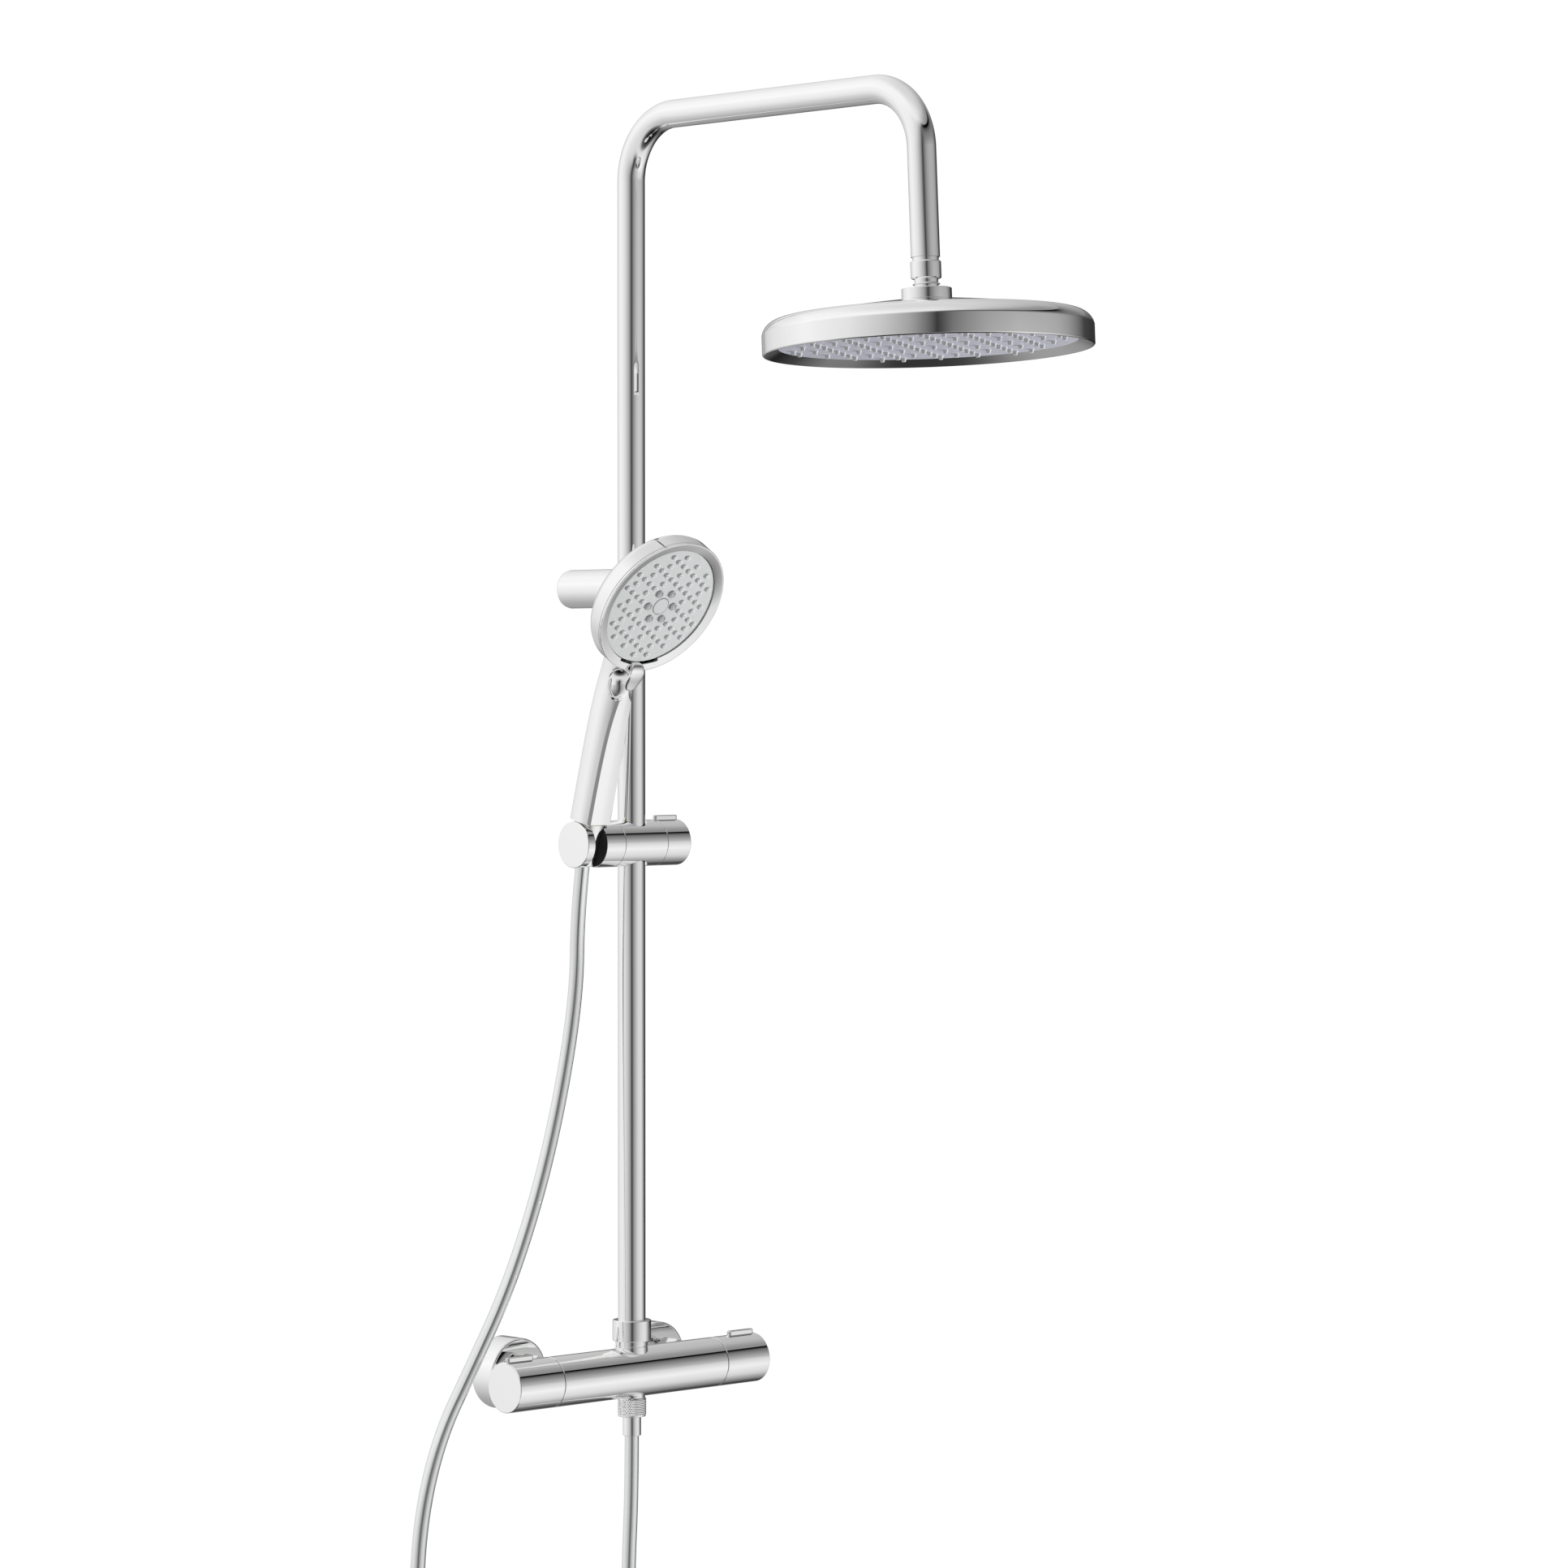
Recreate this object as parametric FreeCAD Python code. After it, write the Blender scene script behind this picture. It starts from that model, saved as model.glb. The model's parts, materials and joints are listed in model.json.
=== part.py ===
import FreeCAD, Part
import math
import os

# Rainfall shower column: thermostatic mixer, riser, swinging arm, rain head, slider and handset.
# Millimetres. +Z up, +X right along the wall, -Y out of the wall. The wall is the plane y = 0.
# Origin: midway between the two wall inlets, on the wall.

V = FreeCAD.Vector
X_AXIS = V(1, 0, 0)
Y_AXIS = V(0, 1, 0)
Z_AXIS = V(0, 0, 1)

# ---------------------------------------------------------------- driving dimensions
WALL_GAP = 75.0            # wall to the axis of mixer and riser
INLET_SPACING = 150.0      # between the two wall inlets
RUN_FIT = 0.06             # radial clearance of turning and sliding fits
FIT = 0.05                 # clearance between pieces fixed to each other
GAP = 0.5                  # visible seam between turning pieces

TUBE_R = 11.0              # riser and arm tube
TUBE_WALL = 1.2
ARM_Z = 1000.6             # arm axis above the mixer axis
ARM_REACH = 323.0          # riser axis to the corner above the rain head
BEND_R = 50.0
DROP_TILT = 2.84           # degrees the drop leans outwards
DROP_LENGTH = 130.3        # corner to the end of the tube
RIM_DROP = 200.9           # corner to the lower rim of the rain head

MIXER_R = 20.0
MIXER_BODY_L = 175.0
HANDLE_L = 46.0
CARTRIDGE_R = 15.5
CARTRIDGE_L = 52.0
SPINDLE_R = 8.0
SPINDLE_L = 25.0
HANDLE_WALL = 3.2
BUTTON_L = 27.0
BUTTON_W = 5.0
BUTTON_RISE = 3.4          # above the handle's surface

HALF_INCH_R = 10.4         # G1/2 male thread
THREE_QUARTER_R = 13.2     # G3/4 male thread
STUD_R = 10.48             # G1/2 stud in the wall
STUD_L = 14.0
TAIL_R = 12.0
TAIL_END = 44.0            # wall to the end of the mixer's tails
UNION_NUT_AF = 30.0
ROSETTE_R = 29.0
ROSETTE_DEPTH = 24.5
ROSETTE_WALL = 1.4
UNION_COLLAR_R = 15.0

RISER_THREAD_WALL = 2.2    # tube to the outside of the thread it stands in
RISER_NUT_WALL = 2.3
RISER_NUT_Z = (25.4, 42.2)
ADAPTER_R = 12.9
ADAPTER_SEAT_Z = 14.0

BRACKET_Z = 627.0
BRACKET_BUSH_WALL = 1.25
BRACKET_WALL = 3.25        # least wall beside the bush
BRACKET_BASE_R = 12.0
BRACKET_BASE_L = 30.0
SPIGOT_L = 34.0

SLIDER_Z = 423.4
SLIDER_R = 18.5
SLIDER_X = (-22.0, 23.0)   # the body between holder and knob
KNOB_L = 25.0
BUSH_WALL = 1.4
HOLDER_END_X = -62.0
CONE_X = -48.5             # axis of the conical seat
CONE_TILT = 14.3           # degrees the handset leans outwards
CONE_TOP_R = 11.9
CONE_FOOT_R = 8.6
CONE_FOOT_U = -16.0
SLOT_W = 12.0

HEAD_R = 125.0
HEAD_WALL = 1.6
CROWN_H = 38.5
COLLAR_H = 47.1
COLLAR_R = 19.0
BALL_H = 34.9
BALL_R = 11.0
SEAT_R = 12.9              # outside of the ball's liner
SOCKET_R = 17.0
HEAD_FACE_R = 113.0
HEAD_FACE_H = (7.0, 10.0)
HEAD_PITCH = 17.0
HEAD_NOZZLE_R = 2.1
HEAD_NOZZLE_DROP = 3.7

FACE_TILT = 32.5           # degrees the handset's face looks down
FACE_U = 202.6             # centre of the face along and ahead of the cone's axis
FACE_W = 41.2
SPRAY_R = 58.5
SPRAY_RIM_W = 7.7          # outside of the rim to the nozzle plate
SPRAY_RECESS = 2.5
SPRAY_PITCH = 8.05
SPRAY_NOZZLE_R = 2.1
GRIP_BORE_R = 8.6
GRIP_SEAT = 0.8            # foot of the grip above the cone nut

HOSE_R = 5.7
HOSE_NUT_R = 11.0

# ---------------------------------------------------------------- derived places
COLUMN_Y = -WALL_GAP
BODY_END = MIXER_BODY_L / 2
TUBE_BORE = TUBE_R - TUBE_WALL
SPIGOT_R = TUBE_BORE - RUN_FIT
RISER_THREAD_R = TUBE_R + RISER_THREAD_WALL
RISER_NUT_R = RISER_THREAD_R + RISER_NUT_WALL
BRACKET_BUSH_R = TUBE_R + BRACKET_BUSH_WALL
BRACKET_R = BRACKET_BUSH_R + BRACKET_WALL
BUSH_R = TUBE_R + BUSH_WALL
CONE_TOP_U = SLIDER_R      # the cone nut ends at the fork's surface
GRIP_FOOT_U = CONE_TOP_U + GRIP_SEAT
SPRAY_FACE_R = SPRAY_R - SPRAY_RIM_W
INLET_X = INLET_SPACING / 2
TILT = math.radians(CONE_TILT)
DROP = math.radians(DROP_TILT)
FACE = math.radians(FACE_TILT)
DROP_DIR = V(0, -math.sin(DROP), -math.cos(DROP))
CORNER = V(0, COLUMN_Y - ARM_REACH, ARM_Z)


# ---------------------------------------------------------------- shape helpers
def cylinder(radius, start, end):
    return Part.makeCylinder(radius, (end - start).Length, start, end - start)


def tube(outer, inner, start, end):
    return cylinder(outer, start, end).cut(cylinder(inner, start, end))


def cone(start_r, end_r, start, end):
    return Part.makeCone(start_r, end_r, (end - start).Length, start, end - start)


def box(x, y, z):
    return Part.makeBox(x[1] - x[0], y[1] - y[0], z[1] - z[0], V(x[0], y[0], z[0]))


def spun(points, arcs=()):
    """Turn an outline of (radius, height) about Z; arcs maps a point's number to its bulge point."""
    arcs = dict(arcs)
    edges = []
    for i, (r, h) in enumerate(points):
        a = V(r, 0, h)
        b = V(points[(i + 1) % len(points)][0], 0, points[(i + 1) % len(points)][1])
        if i in arcs:
            m = V(arcs[i][0], 0, arcs[i][1])
            edges.append(Part.Arc(a, m, b).toShape())
        elif (a - b).Length > 1e-6:
            edges.append(Part.LineSegment(a, b).toShape())
    face = Part.Face(Part.Wire(edges))
    return face.revolve(V(0, 0, 0), Z_AXIS, 360)


def placed(shape, origin, degrees):
    """Lean a shape made about Z by turning it about X, then put it at origin."""
    shape = shape.copy()
    turn = FreeCAD.Placement(origin, FreeCAD.Rotation(X_AXIS, degrees))
    shape.Placement = turn.multiply(shape.Placement)
    return shape


def along_x(shape, origin, left=False):
    """Lay a shape made about Z along +X, or along -X for a left-hand piece."""
    shape = shape.copy()
    turn = FreeCAD.Placement(origin, FreeCAD.Rotation(Y_AXIS, -90 if left else 90))
    shape.Placement = turn.multiply(shape.Placement)
    return shape


def along_wall_axis(shape, origin):
    """Lay a shape made about Z so that its height points out of the wall."""
    return placed(shape, origin, 90)


def joined(shapes):
    result = shapes[0]
    if len(shapes) > 1:
        result = shapes[0].fuse(list(shapes[1:]))
    return result.removeSplitter()


def lattice(pitch, reach, inner):
    """Sites of a triangular grid with every second site of every second row left out."""
    sites = []
    count = int(reach / pitch) + 2
    for i in range(-2 * count, 2 * count + 1):
        for j in range(-2 * count, 2 * count + 1):
            if i % 2 == 0 and j % 2 == 0:
                continue
            x = (i * math.sqrt(3) / 2) * pitch
            y = (j + i / 2) * pitch
            if inner < math.hypot(x, y) < reach:
                sites.append((x, y))
    return sites


def in_handset(shape):
    """Put a shape made about the cone's axis, height up the grip, where the holder carries it."""
    return placed(shape, V(CONE_X, COLUMN_Y, SLIDER_Z), CONE_TILT)


def grip_point(u, w):
    """A point u up the cone's axis and w ahead of it."""
    return V(CONE_X, COLUMN_Y - u * math.sin(TILT) - w * math.cos(TILT),
             SLIDER_Z + u * math.cos(TILT) - w * math.sin(TILT))


def in_spray(shape):
    """Put a shape made about the face's normal, height towards the user, on the handset's face."""
    return placed(shape, grip_point(FACE_U, FACE_W), 90 + FACE_TILT)


def in_head(shape):
    """Put a shape made about the drop's axis, height above the lower rim, under the arm."""
    return placed(shape, CORNER + DROP_DIR * RIM_DROP, -DROP_TILT)


# ---------------------------------------------------------------- mixer
def mixer_body():
    axis = V(0, COLUMN_Y, 0)
    body = cylinder(MIXER_R, axis - X_AXIS * BODY_END, axis + X_AXIS * BODY_END)
    tails = []
    for side in (-1, 1):
        x = side * INLET_X
        tails.append(cylinder(TAIL_R, V(x, COLUMN_Y, 0), V(x, -TAIL_END, 0)))
        tails.append(cylinder(TAIL_R + 0.9, V(x, -TAIL_END - 2, 0), V(x, -TAIL_END, 0)))
    outlet = cylinder(HALF_INCH_R, V(0, COLUMN_Y, 0), V(0, COLUMN_Y, -MIXER_R - 11))
    body = joined([body, outlet] + tails)
    cuts = [cylinder(7, V(0, COLUMN_Y, -MIXER_R - 12), V(0, COLUMN_Y, MIXER_R + 1)),
            cylinder(HALF_INCH_R + FIT, V(0, COLUMN_Y, 6), V(0, COLUMN_Y, MIXER_R + 1)),
            cylinder(ADAPTER_R + FIT, V(0, COLUMN_Y, ADAPTER_SEAT_Z), V(0, COLUMN_Y, MIXER_R + 1))]
    for side in (-1, 1):
        mouth = V(side * (BODY_END + 1), COLUMN_Y, 0)
        floor = V(side * (BODY_END - CARTRIDGE_L - 1), COLUMN_Y, 0)
        cuts.append(cylinder(CARTRIDGE_R + FIT, floor, mouth))
        cuts.append(cylinder(8, V(side * INLET_X, COLUMN_Y, 0), V(side * INLET_X, 0, 0)))
    return body.cut(cuts)


def cartridge(left):
    """Cartridge in the mixer's end, with its spindle in the handle."""
    body = spun([(0, 0), (CARTRIDGE_R, 0), (CARTRIDGE_R, 14), (CARTRIDGE_R - 2.2, 14),
                 (CARTRIDGE_R - 2.2, 24), (CARTRIDGE_R, 24), (CARTRIDGE_R, CARTRIDGE_L),
                 (SPINDLE_R, CARTRIDGE_L), (SPINDLE_R, CARTRIDGE_L + SPINDLE_L),
                 (0, CARTRIDGE_L + SPINDLE_L)])
    side = -1 if left else 1
    return along_x(body, V(side * (BODY_END - CARTRIDGE_L), COLUMN_Y, 0), left)


def button_bar(length, width, low, high, radius_margin=0.0):
    """A bar with round ends on top of a handle, along the handle's axis from 0 to length."""
    r = width / 2 + radius_margin
    bar = box((width / 2, length - width / 2), (-r, r), (low, high))
    ends = [cylinder(r, V(x, 0, low), V(x, 0, high)) for x in (width / 2, length - width / 2)]
    return joined([bar] + ends)


def mixer_handle(left):
    """Hollow turning handle with a hub on the spindle and a slot for its button."""
    shell = spun([(0, HANDLE_L - HANDLE_WALL), (MIXER_R - HANDLE_WALL, HANDLE_L - HANDLE_WALL),
                  (MIXER_R - HANDLE_WALL, 0), (MIXER_R, 0), (MIXER_R, HANDLE_L - 1.0),
                  (MIXER_R - 1.0, HANDLE_L), (0, HANDLE_L)])
    hub = tube(SPINDLE_R + 3, SPINDLE_R + RUN_FIT, V(0, 0, 3), V(0, 0, HANDLE_L - HANDLE_WALL + 0.5))
    plug = cylinder(SPINDLE_R + 2, V(0, 0, SPINDLE_L + 1.5), V(0, 0, HANDLE_L - HANDLE_WALL + 0.5))
    side = -1 if left else 1
    start = V(side * (BODY_END + GAP), COLUMN_Y, 0)
    handle = along_x(joined([shell, hub, plug]), start, left)
    slot = button_bar(BUTTON_L, BUTTON_W, SPINDLE_R + 4, MIXER_R + 4, 0.25)
    slot.translate(V(HANDLE_L - BUTTON_L - 1.8 + BODY_END + GAP, COLUMN_Y, 0))
    if left:
        slot = slot.mirror(V(0, 0, 0), X_AXIS)
    return handle.cut(slot)


def handle_button(left):
    """Stop button: a slim bar proud of the handle, held from inside by its flange."""
    bar = button_bar(BUTTON_L, BUTTON_W, 14.2, MIXER_R + BUTTON_RISE)
    flange = box((1.0, BUTTON_L - 2.2), (-4.2, 4.2), (13.6, 15.6))
    button = joined([bar, flange])
    button.translate(V(HANDLE_L - BUTTON_L - 1.8 + BODY_END + GAP, COLUMN_Y, 0))
    return button.mirror(V(0, 0, 0), X_AXIS) if left else button


def wall_union(side):
    """Straight union from the wall's G1/2 socket to the mixer's G3/4 nut."""
    union = spun([(7.5, -STUD_L), (STUD_R, -STUD_L), (STUD_R, 0.0), (UNION_COLLAR_R, 0.0),
                  (UNION_COLLAR_R, 28), (THREE_QUARTER_R, 28), (THREE_QUARTER_R, TAIL_END - 4),
                  (7.5, TAIL_END - 4)])
    return along_wall_axis(union, V(side * INLET_X, 0, 0))


def union_nuts():
    nuts = []
    for side in (-1, 1):
        corner = UNION_NUT_AF / 2 / math.cos(math.pi / 6)
        wire = Part.makePolygon([V(corner * math.cos(k * math.pi / 3), corner * math.sin(k * math.pi / 3),
                                   TAIL_END - 13) for k in range(7)])
        blank = Part.Face(wire).extrude(V(0, 0, 17))
        blank = blank.cut([cylinder(THREE_QUARTER_R + FIT, V(0, 0, 0), V(0, 0, TAIL_END + 2 + FIT)),
                           cylinder(TAIL_R + FIT, V(0, 0, 0), V(0, 0, TAIL_END + 20))])
        nuts.append(along_wall_axis(blank, V(side * INLET_X, 0, 0)))
    return Part.makeCompound(nuts)


def union_gaskets():
    rings = [along_wall_axis(tube(TAIL_R, 8.5, V(0, 0, TAIL_END - 4), V(0, 0, TAIL_END)),
                             V(side * INLET_X, 0, 0)) for side in (-1, 1)]
    return Part.makeCompound(rings)


def rosette(side):
    """Deep round cover, open to the wall, with a hole for the union in its front."""
    r, d, w = ROSETTE_R, ROSETTE_DEPTH, ROSETTE_WALL
    cup = spun([(UNION_COLLAR_R + FIT, d - w), (r - w - 1, d - w), (r - w, d - w - 1), (r - w, 0.2),
                (r, 0.2), (r, d - 2), (r - 2, d), (UNION_COLLAR_R + FIT, d)],
               arcs={5: (r - 0.586, d - 0.586)})
    return along_wall_axis(cup, V(side * INLET_X, 0, 0))


# ---------------------------------------------------------------- riser and wall bracket
def outlet_adapter():
    low, high = RISER_NUT_Z
    adapter = spun([(7.5, 6.2), (HALF_INCH_R, 6.2), (HALF_INCH_R, ADAPTER_SEAT_Z),
                    (ADAPTER_R, ADAPTER_SEAT_Z), (ADAPTER_R, 20.9), (ADAPTER_R - 0.7, 20.9),
                    (ADAPTER_R - 0.7, 21.7), (ADAPTER_R, 21.7), (ADAPTER_R, low - 0.2),
                    (RISER_THREAD_R, low - 0.2), (RISER_THREAD_R, 36.8), (TUBE_R + FIT, 36.8),
                    (TUBE_R + FIT, low + 2), (7.5, low + 2)])
    adapter.translate(V(0, COLUMN_Y, 0))
    return adapter


def riser_union_nut():
    low, high = RISER_NUT_Z
    nut = spun([(RISER_THREAD_R + FIT, low), (RISER_NUT_R - 0.8, low), (RISER_NUT_R, low + 0.8),
                (RISER_NUT_R, high - 0.8), (RISER_NUT_R - 0.8, high), (TUBE_R + FIT, high),
                (TUBE_R + FIT, high - 2.8), (RISER_THREAD_R + FIT, high - 2.8)])
    nut.translate(V(0, COLUMN_Y, 0))
    return nut


def riser_tube():
    """Lower tube, with the bead that the union nut pulls down."""
    low = RISER_NUT_Z[0] + 2.2
    bead = RISER_NUT_Z[1] - 3.0
    riser = spun([(TUBE_BORE, low), (TUBE_R, low), (TUBE_R, bead - 2), (TUBE_R + 1.7, bead - 2),
                  (TUBE_R + 1.7, bead), (TUBE_R, bead), (TUBE_R, BRACKET_Z), (TUBE_BORE, BRACKET_Z)])
    riser.translate(V(0, COLUMN_Y, 0))
    return riser


def groove_heights():
    return (BRACKET_Z + 10, BRACKET_Z + 22)


def riser_spigot():
    """Brass spigot fixed in the lower tube; the arm turns on its upper end."""
    grooves = []
    for z in groove_heights():
        grooves.append(tube(SPIGOT_R + 1, SPIGOT_R - 2.1, V(0, 0, z - 1.2), V(0, 0, z + 1.2)))
    spigot = tube(SPIGOT_R, 6.5, V(0, 0, BRACKET_Z - SPIGOT_L), V(0, 0, BRACKET_Z + SPIGOT_L))
    spigot = spigot.cut(grooves)
    spigot.translate(V(0, COLUMN_Y, 0))
    return spigot


def riser_o_rings():
    rings = []
    for z in groove_heights():
        rings.append(Part.makeTorus(SPIGOT_R - 1.0, 1.0, V(0, COLUMN_Y, z), Z_AXIS))
    return Part.makeCompound(rings)


def wall_bracket():
    """Round bar from the wall, bored across for the riser and hollow over its base."""
    back = -0.4
    front = COLUMN_Y - BRACKET_R
    bar = spun([(0, -back), (BRACKET_R, -back), (BRACKET_R, -front - 1.2),
                (BRACKET_R - 1.2, -front), (0, -front)])
    bar = along_wall_axis(bar, V(0, 0, BRACKET_Z))
    cuts = [cylinder(BRACKET_BASE_R + FIT, V(0, 1, BRACKET_Z), V(0, -BRACKET_BASE_L - 1, BRACKET_Z)),
            cylinder(BRACKET_BUSH_R + FIT, V(0, COLUMN_Y, BRACKET_Z - 20), V(0, COLUMN_Y, BRACKET_Z + 20)),
            cylinder(2.55, V(0, -15, BRACKET_Z - 20), V(0, -15, BRACKET_Z))]
    return bar.cut(cuts)


def bracket_bush():
    ring = tube(BRACKET_BUSH_R, TUBE_R + RUN_FIT, V(0, COLUMN_Y, BRACKET_Z - 9.5),
                V(0, COLUMN_Y, BRACKET_Z + 9.5))
    return ring


def bracket_base():
    base = spun([(2.7, 0), (BRACKET_BASE_R, 0), (BRACKET_BASE_R, BRACKET_BASE_L),
                 (5.2, BRACKET_BASE_L), (5.2, 6), (2.7, 6)])
    return along_wall_axis(base, V(0, 0, BRACKET_Z))


def bracket_base_screw():
    screw = spun([(0, -32), (1.2, -32), (2.5, -28), (2.5, 6), (4.6, 6), (4.6, 9), (3.4, 10), (0, 10)])
    screw = along_wall_axis(screw, V(0, 0, BRACKET_Z))
    return screw.cut([box((-2.8, 2.8), (-10.5, -8.2), (BRACKET_Z - 0.5, BRACKET_Z + 0.5)),
                      box((-0.5, 0.5), (-10.5, -8.2), (BRACKET_Z - 2.8, BRACKET_Z + 2.8))])


def bracket_wall_anchor():
    anchor = spun([(2.55, -34), (3.6, -34), (4.0, -30), (4.0, 0), (2.55, 0)])
    return along_wall_axis(anchor, V(0, 0, BRACKET_Z))


def bracket_grub_screw():
    screw = cylinder(2.5, V(0, -15, BRACKET_Z - BRACKET_R + 0.6), V(0, -15, BRACKET_Z - BRACKET_BASE_R))
    return screw.cut(cylinder(1.3, V(0, -15, BRACKET_Z - BRACKET_R), V(0, -15, BRACKET_Z - BRACKET_R + 2)))


# ---------------------------------------------------------------- arm
def bend(corner, incoming, outgoing, radius):
    """Start, middle and end points of an arc that rounds a corner."""
    half = incoming.getAngle(outgoing) / 2
    reach = radius * math.tan(half)
    start = corner - incoming * reach
    end = corner + outgoing * reach
    inward = outgoing - incoming
    inward.normalize()
    middle = corner + inward * (radius / math.cos(half) - radius)
    return start, middle, end


def arm_path():
    foot = V(0, COLUMN_Y, BRACKET_Z + 0.1)
    out = V(0, -1, 0)
    first = bend(V(0, COLUMN_Y, ARM_Z), Z_AXIS, out, BEND_R)
    second = bend(CORNER, out, DROP_DIR, BEND_R)
    end = CORNER + DROP_DIR * DROP_LENGTH
    edges = [Part.LineSegment(foot, first[0]).toShape(), Part.Arc(*first).toShape(),
             Part.LineSegment(first[2], second[0]).toShape(), Part.Arc(*second).toShape(),
             Part.LineSegment(second[2], end).toShape()]
    return Part.Wire(edges), foot


def arm_tube():
    path, foot = arm_path()
    solids = []
    for radius in (TUBE_R, TUBE_BORE):
        ring = Part.Wire(Part.makeCircle(radius, foot, Z_AXIS))
        solids.append(path.makePipeShell([ring], True, False))
    return solids[0].cut(solids[1])


def arm_end_nipple():
    """Threaded insert soldered in the end of the arm; it carries the ball joint."""
    top = RIM_DROP - DROP_LENGTH
    nipple = spun([(5.0, top - 12), (HALF_INCH_R - 2.4, top - 12), (HALF_INCH_R - 2.4, top - 2.8),
                   (10.0, top - 2.8), (10.0, top - 0.05), (TUBE_BORE - FIT, top - 0.05),
                   (TUBE_BORE - FIT, top + 22), (5.0, top + 22)])
    return in_head(nipple)


def ball_stem():
    """Nut, neck and ball in one piece."""
    top = RIM_DROP - DROP_LENGTH - 2.9
    nut_r = 11.6
    foot = top - 13.5
    neck_foot = COLLAR_H + 0.2
    turn_in = BALL_H + 9.0
    ball_join = BALL_H + math.sqrt(BALL_R ** 2 - 49.0)
    body = spun([(0, foot - 3), (0, top), (nut_r - 0.6, top), (nut_r, top - 0.6), (nut_r, foot + 0.8),
                 (nut_r - 1.2, foot), (9.0, foot), (9.0, COLLAR_H + 4.0), (10.4, COLLAR_H + 3.4),
                 (10.4, COLLAR_H + 2.8), (9.0, COLLAR_H + 2.8), (9.0, neck_foot), (7.0, turn_in),
                 (7.0, ball_join), (0, ball_join)])
    ball = Part.makeSphere(BALL_R, V(0, 0, BALL_H))
    stem = joined([body, ball])
    stem = stem.cut([cylinder(HALF_INCH_R - 2.35, V(0, 0, top - 9.5), V(0, 0, top + 1)),
                     cylinder(4.5, V(0, 0, BALL_H - BALL_R - 1), V(0, 0, top))])
    return in_head(stem)


def ball_seat():
    """Liner that turns on the ball; the head tilts on its outside."""
    low, high = BALL_H - 6.0, BALL_H + 5.5
    outer = Part.makeSphere(SEAT_R, V(0, 0, BALL_H))
    liner = outer.cut(Part.makeSphere(BALL_R + RUN_FIT, V(0, 0, BALL_H)))
    return in_head(liner.common(cylinder(SEAT_R + 1, V(0, 0, low), V(0, 0, high))))


# ---------------------------------------------------------------- rain head
def head_collar():
    low = CROWN_H + 0.1
    ring = spun([(8, low), (COLLAR_R, low), (COLLAR_R, COLLAR_H - 0.6), (COLLAR_R - 0.6, COLLAR_H),
                 (12.3, COLLAR_H), (9.9, COLLAR_H - 3.7), (8, COLLAR_H - 3.7)])
    return in_head(ring.cut(Part.makeSphere(SEAT_R + RUN_FIT, V(0, 0, BALL_H))))


def head_socket():
    """Brass cup screwed into the crown; with the collar it holds the ball."""
    high = CROWN_H - 0.1
    cup = spun([(5.5, 15.1), (9, 15.1), (9, 20), (SOCKET_R, 20), (SOCKET_R, high), (8, high), (8, 26),
                (5.5, 24)])
    return in_head(cup.cut(Part.makeSphere(SEAT_R + RUN_FIT, V(0, 0, BALL_H))))


def head_shell():
    """Chromed dome and side wall, with a sloping inner lip under the face."""
    r, w = HEAD_R, HEAD_WALL
    hole = SOCKET_R + FIT
    face_top = HEAD_FACE_H[1]
    profile = [(hole, CROWN_H), (21, CROWN_H - 0.2), (110, 26.2), (r, 15.5), (r, 0.8), (r - 0.8, 0),
               (r - 1.8, 0), (HEAD_FACE_R + FIT, HEAD_FACE_H[0]), (HEAD_FACE_R + FIT, face_top + 0.4),
               (r - w, face_top + 2.4), (r - w, 15.3), (109.6, 24.6), (21, CROWN_H - 0.2 - w),
               (hole, CROWN_H - w)]
    arcs = {1: (65, 32.6), 2: (121.2, 22.4), 10: (119.9, 21.2), 11: (65, 31.0)}
    return in_head(spun(profile, arcs))


def head_sites():
    return lattice(HEAD_PITCH, HEAD_FACE_R - 7, 1.0)


def head_face():
    low, high = HEAD_FACE_H
    plate = cylinder(HEAD_FACE_R, V(0, 0, low), V(0, 0, high))
    holes = [cylinder(HEAD_NOZZLE_R + 0.2 + FIT, V(x, y, low - 1), V(x, y, high + 1))
             for x, y in head_sites()]
    return in_head(plate.cut(Part.makeCompound(holes)))


def head_nozzles():
    """Silicone mat behind the face, with a nozzle through every hole."""
    low, high = HEAD_FACE_H
    base = cylinder(HEAD_FACE_R - 3, V(0, 0, high + FIT), V(0, 0, high + 1.1))
    nubs = []
    for x, y in head_sites():
        nubs.append(cylinder(HEAD_NOZZLE_R + 0.2, V(x, y, low), V(x, y, high + 0.6)))
        nubs.append(cone(HEAD_NOZZLE_R - 0.6, HEAD_NOZZLE_R, V(x, y, low - HEAD_NOZZLE_DROP), V(x, y, low)))
    return in_head(base.fuse(nubs))


def head_water_plate():
    """Spreads the water over the mat."""
    ring = spun([(5.6, 13.0), (HEAD_FACE_R - 6, 13.0), (HEAD_FACE_R - 6, 11.2), (HEAD_FACE_R - 3, 11.2),
                 (HEAD_FACE_R - 3, 15.0), (5.6, 15.0)])
    return in_head(ring)


def head_plate_screws():
    screws = []
    for k in range(6):
        a = math.radians(60 * k + 30)
        x, y = 60 * math.cos(a), 60 * math.sin(a)
        body = spun([(0, 15.1), (3.2, 15.1), (3.2, 17.0), (2.2, 17.8), (0, 17.8)])
        body.translate(V(x, y, 0))
        screws.append(in_head(body))
    return Part.makeCompound(screws)


# ---------------------------------------------------------------- slider
def slider_point(x):
    return V(x, COLUMN_Y, SLIDER_Z)


def slide_bush():
    """Plastic sleeve that slides on the riser."""
    return tube(BUSH_R, TUBE_R + RUN_FIT, slider_point(0) - Z_AXIS * 12.5, slider_point(0) + Z_AXIS * 12.5)


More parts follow.
